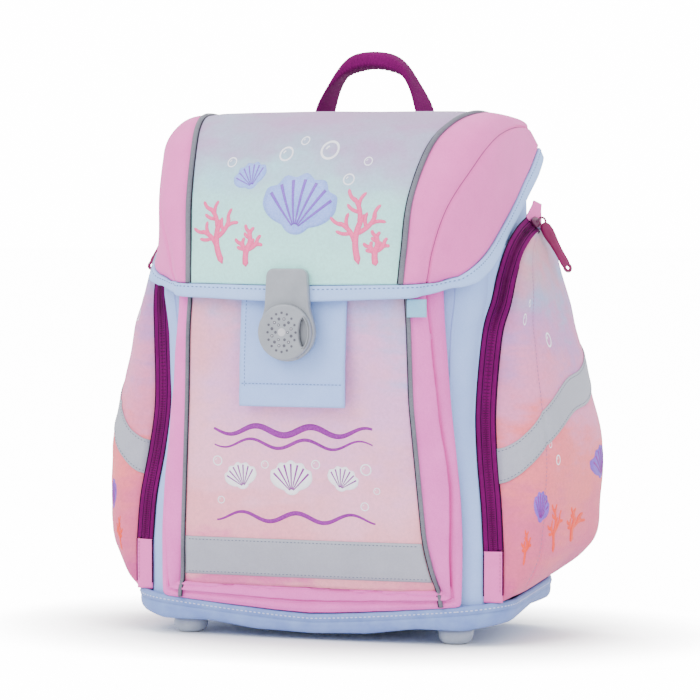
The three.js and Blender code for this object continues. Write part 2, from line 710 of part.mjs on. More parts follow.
function sidePocket(side) {
  const grid = spread(0, sideRows.length - 1, 15).map((row) => spread(0, Math.PI, 12).map((a) => sidePoint(side, row, a)));
  return sheet(grid, clothWall, sideInside);
}

// Reflective stripe on a side pocket: height in shares of lidTop over the turn round the pocket
const sideStripeLine = named(['turn', 'z'], [
  [0.00, 0.335], [0.12, 0.365], [0.25, 0.405], [0.50, 0.470], [0.75, 0.530], [1.00, 0.560],
]);

function rowAtHeight(side, theta, z) {
  let low = 0;
  let high = sideRows.length - 1;
  for (let i = 0; i < 24; i += 1) {
    const middle = (low + high) / 2;
    if (sidePoint(side, middle, theta).z < z) low = middle;
    else high = middle;
  }
  return (low + high) / 2;
}

function sideStripe(side) {
  const grid = spread(0.004, 0.95, 16).map((turn) => {
    const theta = turn * Math.PI;
    const middle = lidTop * lookUp(sideStripeLine, 'turn', turn, 'z');
    return [-0.5, 0, 0.5].map((share) => {
      const row = rowAtHeight(side, theta, middle + share * stripeHeight);
      const p = sidePoint(side, row, theta);
      const across = sidePoint(side, row, theta + 0.04).sub(sidePoint(side, row, theta - 0.04));
      const up = sidePoint(side, row + 0.1, theta).sub(sidePoint(side, row - 0.1, theta));
      const out = V(0, 0, 0).crossVectors(across, up).normalize();
      if (out.dot(p.clone().sub(sideInside(p))) < 0) out.negate();
      return p.addScaledVector(out, stripeWall + touch * 2);
    });
  });
  return sheet(grid, stripeWall, sideInside);
}

// Slider at the upper end of the zipper and its hanging puller
function zipSlider(side) {
  const f = zipFrame(side, zipEnd);
  const lift = V(0, 0, 0).crossVectors(f.wide, f.along).multiplyScalar(-side).normalize();
  if (lift.z < 0) lift.negate();
  const centre = f.at.clone().addScaledVector(lift, tapeWall / 2 + touch + 2);
  const stations = [-5.5, -2, 3, 6].map((s, i) => ({
    at: centre.clone().addScaledVector(f.along, s), wide: f.wide, width: [6, 9, 8, 5][i], wall: [3, 4, 4, 3][i],
  }));
  return band(stations, 0.3);
}

function pullerPivot(side) {
  const f = zipFrame(side, zipEnd);
  return f.at.clone().add(V(side * 6.5, 0.5, 3.5));
}

// Outline of the puller, width and thickness in shares of its length
const pullerRows = named(['at', 'width', 'wall'], [
  [0.00, 0.10, 0.07], [0.10, 0.17, 0.09], [0.26, 0.27, 0.14], [0.40, 0.22, 0.13],
  [0.52, 0.14, 0.10], [0.70, 0.20, 0.10], [0.90, 0.24, 0.10], [1.00, 0.12, 0.08],
]);

function zipPuller(side) {
  const top = pullerPivot(side);
  const hang = V(side * 0.5, -0.02, -0.86).normalize();
  const stations = pullerRows.map((r) => ({
    at: top.clone().addScaledVector(hang, 2 + r.at * pullerLength),
    wide: V(0, 1, 0),
    width: r.width * pullerLength,
    wall: r.wall * pullerLength,
  }));
  return band(stations, 0.35);
}

for (const [side, word] of [[1, 'right'], [-1, 'left']]) {
  add(`side_pocket_${word}`, sidePocket(side), printLilac);
  add(`side_stripe_${word}`, sideStripe(side), 0xb6bcc6, 0.35);
  add(`zipper_tape_${word}`, zipTape(side), 0x7f2278, 0.6);
  add(`zipper_foot_tab_${word}`, zipFootTab(side), pink);
  add(`zipper_tip_${word}`, zipTip(side), pink);
  add(`zip_slider_${word}`, zipSlider(side), 0x8a2c80, 0.4);
  add(`zip_puller_${word}`, zipPuller(side), 0x9a3a78, 0.5);
}

// Carry handle: a wide padded ribbon in an arch. X in shares of handleHalf, Z from the lid to handleTop
const handleRows = named(['x', 'z', 'wall'], [
  [1.00, 0.02, 0.30], [0.92, 0.20, 0.30], [0.76, 0.48, 0.34], [0.54, 0.76, 0.62], [0.28, 0.94, 0.95],
]);

function handle() {
  const low = mix(lidLow, lidTop, 0.989) + touch;
  const right = handleRows.map((r) => ({
    at: V(r.x * handleHalf, handleBase, mix(low, handleTop, r.z)), wall: r.wall * handlePad,
  }));
  const top = { at: V(0, handleBase, handleTop), wall: handlePad };
  const left = right.map((s) => ({ at: V(-s.at.x, s.at.y, s.at.z), wall: s.wall })).reverse();
  const stations = [...right, top, ...left].map((s) => ({ ...s, wide: V(0, 1, 0), width: handleWidth }));
  return band(stations, 0.5);
}
add('carry_handle', handle(), 0xa83c90);

// Back: a firm panel, two long pads, one low pad, shoulder straps with webbing and adjusters
function block(width, low, high, front, depth, corner, x = 0) {
  const shape = new THREE.Shape();
  const h = width / 2;
  shape.moveTo(-h + corner, low);
  shape.lineTo(h - corner, low);
  shape.quadraticCurveTo(h, low, h, low + corner);
  shape.lineTo(h, high - corner);
  shape.quadraticCurveTo(h, high, h - corner, high);
  shape.lineTo(-h + corner, high);
  shape.quadraticCurveTo(-h, high, -h, high - corner);
  shape.lineTo(-h, low + corner);
  shape.quadraticCurveTo(-h, low, -h + corner, low);
  const geometry = new THREE.ExtrudeGeometry(shape, { depth, bevelEnabled: false, curveSegments: 4 });
  geometry.rotateX(Math.PI / 2);
  geometry.translate(x, front + depth, 0);
  return geometry;
}

add('back_panel', block(panelHalf * 2, lidTop * 0.13, lidTop * 0.93, bodyBack + touch, panelWall, 18), 0xa9b7d8);
const padFront = bodyBack + touch + panelWall + touch;
const padWide = panelHalf * 0.78;
add('back_pad_right', block(padWide, lidTop * 0.34, lidTop * 0.86, padFront, padWall, 20, panelHalf * 0.48), 0x8f8fa6);
add('back_pad_left', block(padWide, lidTop * 0.34, lidTop * 0.86, padFront, padWall, 20, -panelHalf * 0.48), 0x8f8fa6);
add('back_pad_low', block(panelHalf * 1.7, lidTop * 0.16, lidTop * 0.32, padFront, padWall, 18), 0x8f8fa6);

// Shoulder strap: X in shares of panelHalf, Y as stand-off in shares of padWall, Z in shares of lidTop
const strapRows = named(['x', 'off', 'z', 'width', 'wall'], [
  [0.43, 0.05, 0.900, 0.85, 0.45],
  [0.43, 1.10, 0.897, 0.92, 0.70],
  [0.43, 1.90, 0.880, 0.97, 0.95],
  [0.44, 2.25, 0.840, 1.00, 1.00],
  [0.49, 2.35, 0.740, 1.00, 1.00],
  [0.56, 2.30, 0.600, 1.00, 1.00],
  [0.66, 2.25, 0.470, 0.96, 1.00],
  [0.80, 2.20, 0.350, 0.86, 0.90],
  [0.92, 2.10, 0.262, 0.62, 0.62],
]);

function strapStation(side, row) {
  return V(side * row.x * panelHalf, padFront + row.off * padWall, row.z * lidTop);
}

function strap(side) {
  const stations = strapRows.map((row) => ({
    at: strapStation(side, row), wide: V(1, 0, 0), width: row.width * strapWidth, wall: row.wall * strapWall,
  }));
  return band(stations, 0.45);
}

const strapEnd = strapRows[strapRows.length - 1];
const strapEndBack = (strapEnd.wall * strapWall) / 2 + touch * 3.4;

function webbing(side) {
  const end = strapStation(side, strapEnd);
  const points = [
    V(end.x + side * 1.5, end.y + strapEndBack - touch - webbingWall / 2, end.z - 12),
    V(side * panelHalf * 0.985, end.y - 4, lidTop * 0.17),
    V(side * panelHalf * 1.0, padFront + 2, lidTop * 0.115),
    V(side * panelHalf * 1.0, baseBack + touch + webbingWall / 2, lidTop * 0.085),
  ];
  const stations = points.map((at) => ({ at, wide: V(1, 0, 0), width: webbingWidth, wall: webbingWall }));
  return band(stations, 0.3);
}

// Ladder adjuster: a frame with two bars between strap end and webbing
function adjuster(side) {
  const end = strapStation(side, strapEnd);
  const wide = webbingWidth / 2 + 5;
  const tall = 11;
  const shape = new THREE.Shape();
  shape.moveTo(-wide, -tall);
  shape.lineTo(wide, -tall);
  shape.lineTo(wide, tall);
  shape.lineTo(-wide, tall);
  shape.closePath();
  for (const low of [-tall + 3, 1.5]) {
    const hole = new THREE.Path();
    hole.moveTo(-wide + 4, low);
    hole.lineTo(-wide + 4, low + 6.5);
    hole.lineTo(wide - 4, low + 6.5);
    hole.lineTo(wide - 4, low);
    hole.closePath();
    shape.holes.push(hole);
  }
  const geometry = new THREE.ExtrudeGeometry(shape, { depth: adjusterWall, bevelEnabled: false });
  geometry.rotateX(Math.PI / 2);
  geometry.translate(end.x, end.y + strapEndBack + adjusterWall, end.z - 4);
  return geometry;
}

for (const [side, word] of [[1, 'right'], [-1, 'left']]) {
  add(`shoulder_strap_${word}`, strap(side), 0x8f8fa6);
  add(`strap_webbing_${word}`, webbing(side), 0x6b6b80);
  add(`strap_adjuster_${word}`, adjuster(side), 0x55555f, 0.4);
}

// Origin at the middle of the footprint, on the floor
function centreOnFloor(target) {
  target.updateMatrixWorld(true);
  const box = new THREE.Box3().setFromObject(target);
  const middle = box.getCenter(V(0, 0, 0));
  target.children.forEach((mesh) => mesh.geometry.translate(-middle.x, -middle.y, -box.min.z));
}
centreOnFloor(group);

export default group;
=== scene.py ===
# %% [markdown]
# A school ransel is a boxy satchel of coated cloth over foam, with a curved lid, a push latch,
# zipped side pockets, a front pocket, a moulded base on four feet and padded shoulder straps.
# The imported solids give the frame. Each cloth piece is rebuilt here as a fine curved sheet.

import json
import math

import bmesh
import bpy
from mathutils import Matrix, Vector, noise

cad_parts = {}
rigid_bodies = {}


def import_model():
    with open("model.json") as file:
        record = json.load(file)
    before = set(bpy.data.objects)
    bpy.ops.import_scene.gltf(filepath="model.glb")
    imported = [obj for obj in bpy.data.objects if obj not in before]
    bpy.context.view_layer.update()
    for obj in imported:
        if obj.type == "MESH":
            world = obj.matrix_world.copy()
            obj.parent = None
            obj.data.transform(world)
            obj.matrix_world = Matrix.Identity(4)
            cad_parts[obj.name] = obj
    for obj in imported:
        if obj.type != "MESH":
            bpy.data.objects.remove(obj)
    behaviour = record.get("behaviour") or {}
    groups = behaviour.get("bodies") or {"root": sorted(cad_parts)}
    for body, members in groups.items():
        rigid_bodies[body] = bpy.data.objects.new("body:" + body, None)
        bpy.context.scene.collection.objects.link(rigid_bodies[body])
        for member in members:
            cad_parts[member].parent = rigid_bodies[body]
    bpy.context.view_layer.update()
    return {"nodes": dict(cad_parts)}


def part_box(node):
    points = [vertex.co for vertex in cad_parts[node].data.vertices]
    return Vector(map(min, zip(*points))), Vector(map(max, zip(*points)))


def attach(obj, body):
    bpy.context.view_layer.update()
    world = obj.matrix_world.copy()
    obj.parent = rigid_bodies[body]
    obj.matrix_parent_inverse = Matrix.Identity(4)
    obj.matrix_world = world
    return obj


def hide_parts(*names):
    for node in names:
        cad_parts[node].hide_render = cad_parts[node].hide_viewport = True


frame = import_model()
print("nodes:", len(frame["nodes"]))

# %% [markdown]
# The camera comes first. The photo looks at the bag from about 20 degrees to the right of its
# front and almost level with it, through a long lens, so the camera stands 2.5 m away.

# %% Camera
MM = 0.001
HANDLE_Y = 112.0
handle_low, handle_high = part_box("carry_handle")
SHIFT = HANDLE_Y - (handle_low[1] + handle_high[1]) / 2 / MM
AZIMUTH = math.radians(20.0)
ELEVATION = math.radians(2.4)
DISTANCE = 2500.0
AIM = (27.0, -20.0, 222.0)
FOCAL_SHARE = 4.687


def metres(p):
    """A point of the drawing, in millimetres, as a point of the row frame, in metres."""
    return Vector((p[0] * MM, (p[1] - SHIFT) * MM, p[2] * MM))


back = Vector((
    math.sin(AZIMUTH) * math.cos(ELEVATION),
    -math.cos(AZIMUTH) * math.cos(ELEVATION),
    math.sin(ELEVATION),
))
camera_data = bpy.data.cameras.new("camera")
camera = bpy.data.objects.new("camera", camera_data)
bpy.context.collection.objects.link(camera)
camera.location = metres(AIM) + back * DISTANCE * MM
camera.rotation_euler = back.to_track_quat("Z", "Y").to_euler()
camera_data.sensor_width = 36.0
camera_data.lens = 36.0 * FOCAL_SHARE
camera_data.clip_end = 30.0
bpy.context.scene.camera = camera
print("camera at", [round(v, 3) for v in camera.location])

# %% [markdown]
# Small helpers do the repeated work: a smooth curve through a table, sheets from a grid of points,
# bodies from rings, and rows of stitches. Colours are written as they look on a screen.

# %% Helpers for shapes
SIDES = ((1, "right"), (-1, "left"))


def lerp(a, b, t):
    return a + (b - a) * t


def clamp(v, low=0.0, high=1.0):
    return max(low, min(high, v))


def ease(t):
    t = clamp(t)
    return t * t * (3 - 2 * t)


def spread(a, b, steps):
    return [a + (b - a) * i / steps for i in range(steps + 1)]


def angles(count):
    """Equal steps of angle once round a circle."""
    return spread(0, 2 * math.pi, count)[:-1]


def smooth(values, at):
    """Value of a smooth curve through a list, at a position counted in steps of the list."""
    last = len(values) - 1
    i = int(clamp(math.floor(at), 0, last - 1))
    t = at - i
    p1, p2 = values[i], values[i + 1]
    p0 = values[i - 1] if i > 0 else 2 * p1 - p2
    p3 = values[i + 2] if i < last - 1 else 2 * p2 - p1
    if t < 0:
        return p1 + (p2 - p1) * t
    if t > 1:
        return p2 + (p2 - p1) * (t - 1)
    slope, bend = p2 - p0, 2 * p0 - 5 * p1 + 4 * p2 - p3
    return 0.5 * (2 * p1 + slope * t + bend * t * t + (3 * p1 - p0 - 3 * p2 + p3) * t**3)


def straight(table, key, value, name):
    """Value of a named column where the rising key column has a given value."""
    if value <= table[0][key]:
        return table[0][name]
    for a, b in zip(table, table[1:]):
        if value <= b[key]:
            return lerp(a[name], b[name], (value - a[key]) / (b[key] - a[key]))
    return table[-1][name]


def named(columns, rows):
    return [dict(zip(columns.split(), row)) for row in rows]


def by_column(table):
    return {key: [row[key] for row in table] for key in table[0]}


def ripple(p, size, seed=0.0):
    """Soft unevenness between -1 and 1 at a point, with features of a given size in millimetres."""
    return noise.noise(Vector((p[0] / size + seed, p[1] / size, p[2] / size)))


def grid_normals(grid, inside):
    rows, cols = len(grid), len(grid[0])
    result = []
    for i in range(rows):
        line = []
        for j in range(cols):
            along = grid[min(i + 1, rows - 1)][j] - grid[max(i - 1, 0)][j]
            across = grid[i][min(j + 1, cols - 1)] - grid[i][max(j - 1, 0)]
            n = along.cross(across)
            n = n.normalized() if n.length > 1e-9 else Vector((0, -1, 0))
            line.append(-n if n.dot(grid[i][j] - inside(grid[i][j])) < 0 else n)
        result.append(line)
    return result


def raised(grid, inside, height):
    """The grid with each point moved out along its normal by height(i, j, point) millimetres."""
    normals = grid_normals(grid, inside)
    return [
        [p + normals[i][j] * height(i, j, p) for j, p in enumerate(line)] for i, line in enumerate(grid)
    ]


def on_grid(grid, row, column):
    """The point of a grid at a row and a column counted in steps, also between its points."""
    i, j = int(min(row, len(grid) - 2)), int(min(column, len(grid[0]) - 2))
    low = grid[i][j].lerp(grid[i][j + 1], column - j)
    high = grid[i + 1][j].lerp(grid[i + 1][j + 1], column - j)
    return low.lerp(high, row - i)


def finish_mesh(name, bm, material, body="bag", nodes=(), slot=None):
    name = name.replace(" ", "_") + "_seen"
    bmesh.ops.remove_doubles(bm, verts=bm.verts, dist=1e-6)
    mesh = bpy.data.meshes.new(name)
    bm.to_mesh(mesh)
    bm.free()
    for poly in mesh.polygons:
        poly.use_smooth = True
    obj = bpy.data.objects.new(name, mesh)
    bpy.context.collection.objects.link(obj)
    obj.data.materials.append(material)
    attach(obj, body)
    if nodes:
        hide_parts(*nodes)
    return obj


def sheet_bm(grid, inside, thickness):
    """A closed sheet: the outer grid, the same grid moved in, and the border between. UVs are in metres."""
    bm = bmesh.new()
    uv_layer = bm.loops.layers.uv.new("UVMap")
    rows, cols = len(grid), len(grid[0])
    normals = grid_normals(grid, inside)
    u_of = [[0.0] * cols for _ in range(rows)]
    v_of = [[0.0] * cols for _ in range(rows)]
    for i in range(rows):
        for j in range(1, cols):
            u_of[i][j] = u_of[i][j - 1] + (grid[i][j] - grid[i][j - 1]).length * MM
        middle = u_of[i][-1] / 2
        u_of[i] = [u - middle for u in u_of[i]]
    for j in range(cols):
        for i in range(1, rows):
            v_of[i][j] = v_of[i - 1][j] + (grid[i][j] - grid[i - 1][j]).length * MM
    outer = [[bm.verts.new(metres(p)) for p in line] for line in grid]
    inner = [
        [bm.verts.new(metres(p - n * thickness)) for p, n in zip(line, row)] for line, row in zip(grid, normals)
    ]

    def face(quad, spots):
        f = bm.faces.new(quad)
        for loop, (i, j) in zip(f.loops, spots):
            loop[uv_layer].uv = (u_of[i][j], v_of[i][j])

    a, b, c = grid[0][0], grid[0][1], grid[1][0]
    flip = (b - a).cross(c - a).dot(normals[0][0]) < 0
    for i in range(rows - 1):
        for j in range(cols - 1):
            spots = [(i, j), (i, j + 1), (i + 1, j + 1), (i + 1, j)]
            if flip:
                spots.reverse()
            face([outer[r][s] for r, s in spots], spots)
            face([inner[r][s] for r, s in reversed(spots)], list(reversed(spots)))
    border = [(0, j) for j in range(cols)] + [(i, cols - 1) for i in range(1, rows)]
    border += [(rows - 1, j) for j in range(cols - 2, -1, -1)] + [(i, 0) for i in range(rows - 2, 0, -1)]
    for (i, j), (k, m) in zip(border, border[1:] + border[:1]):
        quad = [outer[k][m], outer[i][j], inner[i][j], inner[k][m]]
        spots = [(k, m), (i, j), (i, j), (k, m)]
        if flip:
            quad.reverse()
            spots.reverse()
        face(quad, spots)
    return bm


def sheet(name, grid, inside, thickness, material, **where):
    return finish_mesh(name, sheet_bm(grid, inside, thickness), material, **where)


def rings_bm(rings, closed=False):
    """A body through rings of equal count, capped at both ends unless it closes on itself."""
    bm = bmesh.new()
    uv_layer = bm.loops.layers.uv.new("UVMap")
    count = len(rings[0])
    verts = [[bm.verts.new(metres(p)) for p in ring] for ring in rings]
    centres = [sum(ring, Vector()) / count for ring in rings]
    run = [0.0]
    for a, b in zip(centres, centres[1:]):
        run.append(run[-1] + (b - a).length * MM)
    around = [0.0]
    for j in range(count):
        around.append(around[-1] + (rings[0][(j + 1) % count] - rings[0][j]).length * MM)
    steps = len(rings) if closed else len(rings) - 1
    for i in range(steps):
        k = (i + 1) % len(rings)
        for j in range(count):
            m = (j + 1) % count
            f = bm.faces.new([verts[i][j], verts[i][m], verts[k][m], verts[k][j]])
            left, right = around[j], around[j + 1]
            spots = [(left, run[i]), (right, run[i]), (right, run[k]), (left, run[k])]
            for loop, uv in zip(f.loops, spots):
                loop[uv_layer].uv = uv
    if not closed:
        for end, ring in ((0, verts[0]), (-1, verts[-1])):
            middle = bm.verts.new(metres(centres[end]))
            for j in range(count):
                pair = [ring[j], ring[(j + 1) % count]]
                if end == 0:
                    pair.reverse()
                bm.faces.new([*pair, middle])
    bmesh.ops.recalc_face_normals(bm, faces=bm.faces)
    return bm


def tube_bm(points, radius, sides, closed=False):
    """A round tube along a path. The direction across it turns as little as the path allows."""
    rings = []
    last = len(points) - 1
    across = None
    for i, p in enumerate(points):
        after = points[(i + 1) % len(points)] if closed else points[min(i + 1, last)]
        before = points[i - 1] if closed else points[max(i - 1, 0)]
        along = (after - before).normalized()
        if across is None:
            across = Vector((0, 0, 1)) if abs(along.z) < 0.9 else Vector((1, 0, 0))
        across = (across - along * across.dot(along)).normalized()
        out = along.cross(across).normalized()
        rings.append([p + (across * math.cos(a) + out * math.sin(a)) * radius for a in angles(sides)])
    return rings_bm(rings, closed)


def join_bm(target, source):
    """Adds one bmesh to another."""
    mesh = bpy.data.meshes.new("part")
    source.to_mesh(mesh)
    source.free()
    target.from_mesh(mesh)
    bpy.data.meshes.remove(mesh)


def resample(points, spacing):
    """Points at even spacing in millimetres along a polyline, with the direction at each."""
    result = []
    left = spacing / 2
    for a, b in zip(points, points[1:]):
        length = (b - a).length
        if length < 1e-9:
            continue
        while left <= length:
            result.append((a.lerp(b, left / length), (b - a) / length))
            left += spacing
        left -= length
    return result


def stitch_bm(points, normals_at, pitch, length, radius, lift):
    """A row of thread stitches along a polyline; normals_at(point) gives the outward direction."""
    bm = bmesh.new()
    for p, along in resample(points, pitch):
        n = normals_at(p)
        side = along.cross(n)
        side = side.normalized() if side.length > 1e-6 else Vector((1, 0, 0))
        up = side.cross(along).normalized()
        if up.dot(n) < 0:
            up.negate()
        c = p + up * lift
        rings = []
        for s, r, h in ((-0.5, 0.25, -0.35), (-0.3, 1.0, 0.0), (0.3, 1.0, 0.0), (0.5, 0.25, -0.35)):
            m = c + along * s * length + up * h * radius
            rings.append([m + (side * math.cos(a) + up * math.sin(a) * 0.8) * radius * r for a in angles(6)])
        verts = [[bm.verts.new(metres(q)) for q in ring] for ring in rings]
        for i in range(3):
            for j in range(6):
                k = (j + 1) % 6
                bm.faces.new([verts[i][j], verts[i][k], verts[i + 1][k], verts[i + 1][j]])
        bm.faces.new(list(reversed(verts[0])))
        bm.faces.new(verts[-1])
    bmesh.ops.recalc_face_normals(bm, faces=bm.faces)
    return bm


def forwards(_):
    return Vector((0, -1, 0))


def polyline(points, steps):
    """A smooth line through a few points."""
    xs, ys, zs = [p[0] for p in points], [p[1] for p in points], [p[2] for p in points]
    return [Vector((smooth(xs, t), smooth(ys, t), smooth(zs, t))) for t in spread(0, len(points) - 1, steps)]


# %% [markdown]
# Cloth, print, moulded plastic and webbing each need their own look. Node groups hold the effects
# that several materials share: a woven thread pattern and a watercolour wash.

# %% Helpers for materials
DEEPEN = 1.75


def colour(code):
    """A screen colour such as A1B2C3 as linear light, deepened because the film curve pales it."""
    values = [int(code[i : i + 2], 16) / 255 for i in (0, 2, 4)]
    linear = [v / 12.92 if v <= 0.04045 else ((v + 0.055) / 1.055) ** 2.4 for v in values]
    return (*[v**DEEPEN for v in linear], 1.0)


class Nodes:
    """Short names for adding and linking nodes."""

    def __init__(self, tree):
        self.tree = tree

    def add(self, kind, inputs=None, **settings):
        node = self.tree.nodes.new(kind)
        for key, value in settings.items():
            setattr(node, key, value)
        for key, value in (inputs or {}).items():
            socket = node.inputs[key]
            if isinstance(value, bpy.types.NodeSocket):
                self.tree.links.new(value, socket)
            else:
                socket.default_value = value
        return node

    def math(self, operation, a, b=None):
        values = {0: a} if b is None else {0: a, 1: b}
        return self.add("ShaderNodeMath", values, operation=operation).outputs[0]

    def weigh(self, a, share_a, b, share_b):
        """A sum of two values, each times its share."""
        return self.math("ADD", self.math("MULTIPLY", a, share_a), self.math("MULTIPLY", b, share_b))

    def mix(self, factor, a, b, blend="MIX"):
        node = self.add("ShaderNodeMix", data_type="RGBA", blend_type=blend)
        for index, value in ((0, factor), (6, a), (7, b)):
            if isinstance(value, bpy.types.NodeSocket):
                self.tree.links.new(value, node.inputs[index])
            else:
                node.inputs[index].default_value = value
        return node.outputs[2]

    def ramp(self, factor, stops, interpolation="LINEAR"):
        node = self.add("ShaderNodeValToRGB", {0: factor})
        node.color_ramp.interpolation = interpolation
        elements = node.color_ramp.elements
        while len(elements) < len(stops):
            elements.new(0.5)
        for element, (place, value) in zip(elements, stops):
            element.position = place
            element.color = value if not isinstance(value, float) else (value, value, value, 1)
        return node.outputs[0]

    def noise(self, vector, scale, detail=3.0, rough=0.5):
        inputs = {"Vector": vector, "Scale": scale, "Detail": detail, "Roughness": rough}
        return self.add("ShaderNodeTexNoise", inputs).outputs[0]


def group(name, inputs, outputs):
    tree = bpy.data.node_groups.new(name, "ShaderNodeTree")
    for label, kind, value in inputs:
        socket = tree.interface.new_socket(label, in_out="INPUT", socket_type=kind)
        if value is not None:
            socket.default_value = value
    for label, kind in outputs:
        tree.interface.new_socket(label, in_out="OUTPUT", socket_type=kind)
    nodes = Nodes(tree)
    source = nodes.add("NodeGroupInput")
    sink = nodes.add("NodeGroupOutput")
    return tree, nodes, source, sink


# Plain weave: threads over and under each other. Coordinates are in metres.
weave_tree, n, source, sink = group(
    "Plain weave",
    [("Vector", "NodeSocketVector", None), ("Threads per metre", "NodeSocketFloat", 1400.0)],
    [("Height", "NodeSocketFloat"), ("Shade", "NodeSocketFloat")],
)
parts = n.add("ShaderNodeSeparateXYZ", {0: source.outputs[0]})
across = n.math("MULTIPLY", parts.outputs[0], source.outputs[1])
along = n.math("MULTIPLY", parts.outputs[1], source.outputs[1])
warp = n.math("ABSOLUTE", n.math("SINE", n.math("MULTIPLY", across, math.pi)))
weft = n.math("ABSOLUTE", n.math("SINE", n.math("MULTIPLY", along, math.pi)))
cells = n.math("ADD", n.math("FLOOR", across), n.math("FLOOR", along))
over = n.math("MODULO", n.math("ABSOLUTE", cells), 2.0)
under = n.math("SUBTRACT", 1.0, over)
height = n.weigh(warp, over, weft, under)
n.tree.links.new(height, sink.inputs[0])
streak = n.noise(source.outputs[0], 260.0, 2.0)
n.tree.links.new(n.weigh(height, 0.5, streak, 0.5), sink.inputs[1])

# Watercolour wash: broad blots with soft borders, and the fine grain of painted paper
wash_tree, n, source, sink = group(
    "Watercolour wash",
    [("Vector", "NodeSocketVector", None), ("Seed", "NodeSocketFloat", 0.0)],
    [("Blot", "NodeSocketFloat"), ("Grain", "NodeSocketFloat")],
)
shifted = n.add("ShaderNodeVectorMath", {0: source.outputs[0]}, operation="ADD")
offset = n.add("ShaderNodeCombineXYZ", {0: source.outputs[1], 1: source.outputs[1]})
n.tree.links.new(offset.outputs[0], shifted.inputs[1])
broad = n.noise(shifted.outputs[0], 11.0, 4.0, 0.55)
streaky = n.add("ShaderNodeMapping", {"Vector": shifted.outputs[0], "Scale": (1.0, 1.0, 3.2)})
streaks = n.noise(streaky.outputs[0], 34.0, 5.0, 0.6)
n.tree.links.new(n.weigh(broad, 0.65, streaks, 0.35), sink.inputs[0])
n.tree.links.new(n.noise(shifted.outputs[0], 420.0, 6.0, 0.7), sink.inputs[1])

print("node groups:", [g.name for g in bpy.data.node_groups])


def surface(name, roughness, sheen=0.0, coat=0.0):
    material = bpy.data.materials.new(name)
    material.use_nodes = True
    nodes = Nodes(material.node_tree)
    shader = material.node_tree.nodes["Principled BSDF"]
    shader.inputs["Roughness"].default_value = roughness
    shader.inputs["Sheen Weight"].default_value = sheen
    shader.inputs["Sheen Roughness"].default_value = 0.4
    shader.inputs["Coat Weight"].default_value = coat
    shader.inputs["Specular IOR Level"].default_value = 0.3
    return material, nodes, shader


def bump(nodes, shader, height, distance):
    node = nodes.add("ShaderNodeBump", {"Height": height, "Distance": distance, "Strength": 1.0})
    nodes.tree.links.new(node.outputs[0], shader.inputs["Normal"])


def cloth(name, base, dark, roughness, sheen, threads, depth, mottling=0.5):
    """Coated cloth: a base colour that wanders a little, fine weave, soft unevenness."""
    material, nodes, shader = surface(name, roughness, sheen)
    uv = nodes.add("ShaderNodeTexCoord")
    weave = nodes.add("ShaderNodeGroup", node_tree=weave_tree)
    nodes.tree.links.new(uv.outputs["UV"], weave.inputs[0])
    weave.inputs[1].default_value = threads
    patchy = nodes.noise(uv.outputs["Object"], 38.0, 5.0, 0.6)
    fine = nodes.noise(uv.outputs["Object"], 900.0, 3.0, 0.6)
    tone = nodes.weigh(patchy, mottling, fine, 1 - mottling)
    mixed = nodes.mix(nodes.ramp(tone, [(0.3, 0.0), (0.7, 1.0)]), colour(dark), colour(base))
    shade = nodes.math("MULTIPLY", weave.outputs["Shade"], 0.16)
    threaded = nodes.mix(shade, mixed, colour(dark), "MULTIPLY")
    nodes.tree.links.new(threaded, shader.inputs["Base Color"])
    rough = nodes.math("ADD", nodes.math("MULTIPLY", fine, 0.16), roughness - 0.08)
    nodes.tree.links.new(rough, shader.inputs["Roughness"])
    bump(nodes, shader, nodes.math("ADD", weave.outputs["Height"], nodes.math("MULTIPLY", fine, 0.8)), depth)
    return material


def print_cloth(name, stops, low, high, seed, lean, tint):
    """Printed cloth: a watercolour wash through colours from low to high, with blots of a tint.

    The tint is a colour, the scale of its blots, its share and the rise where it starts.
    """
    blot_colour, blot_scale, blot_share, blot_start = tint
    material, nodes, shader = surface(name, 0.6, 0.15)
    coords = nodes.add("ShaderNodeTexCoord")
    wash = nodes.add("ShaderNodeGroup", node_tree=wash_tree)
    nodes.tree.links.new(coords.outputs["Object"], wash.inputs[0])
    wash.inputs[1].default_value = seed
    weave = nodes.add("ShaderNodeGroup", node_tree=weave_tree)
    nodes.tree.links.new(coords.outputs["UV"], weave.inputs[0])
    place = nodes.add("ShaderNodeSeparateXYZ", {0: coords.outputs["Object"]})
    rise = nodes.math("DIVIDE", nodes.math("SUBTRACT", place.outputs[2], low * MM), (high - low) * MM)
    rise = nodes.math("ADD", rise, nodes.math("MULTIPLY", place.outputs[0], lean[0]))
    rise = nodes.math("ADD", rise, nodes.math("MULTIPLY", place.outputs[1], lean[1]))
    wander = nodes.math("MULTIPLY", nodes.math("SUBTRACT", wash.outputs["Blot"], 0.5), 0.85)
    tone = nodes.ramp(nodes.math("ADD", rise, wander), [(p, colour(c)) for p, c in stops], "EASE")
    mask = nodes.noise(coords.outputs["Object"], blot_scale, 4.0, 0.6)
    reach = nodes.ramp(rise, [(blot_start, 0.0), (blot_start + 0.3, 1.0)])
    share = nodes.math("MULTIPLY", nodes.ramp(mask, [(0.45, 0.0), (0.62, blot_share)]), reach)
    tone = nodes.mix(share, tone, colour(blot_colour))
    grain = nodes.ramp(wash.outputs["Grain"], [(0.35, 0.86), (0.65, 1.0)])
    tone = nodes.mix(1.0, tone, grain, "MULTIPLY")
    nodes.tree.links.new(tone, shader.inputs["Base Color"])
    bump(nodes, shader, nodes.math("ADD", weave.outputs["Height"], wash.outputs["Grain"]), 0.00012)
    return material


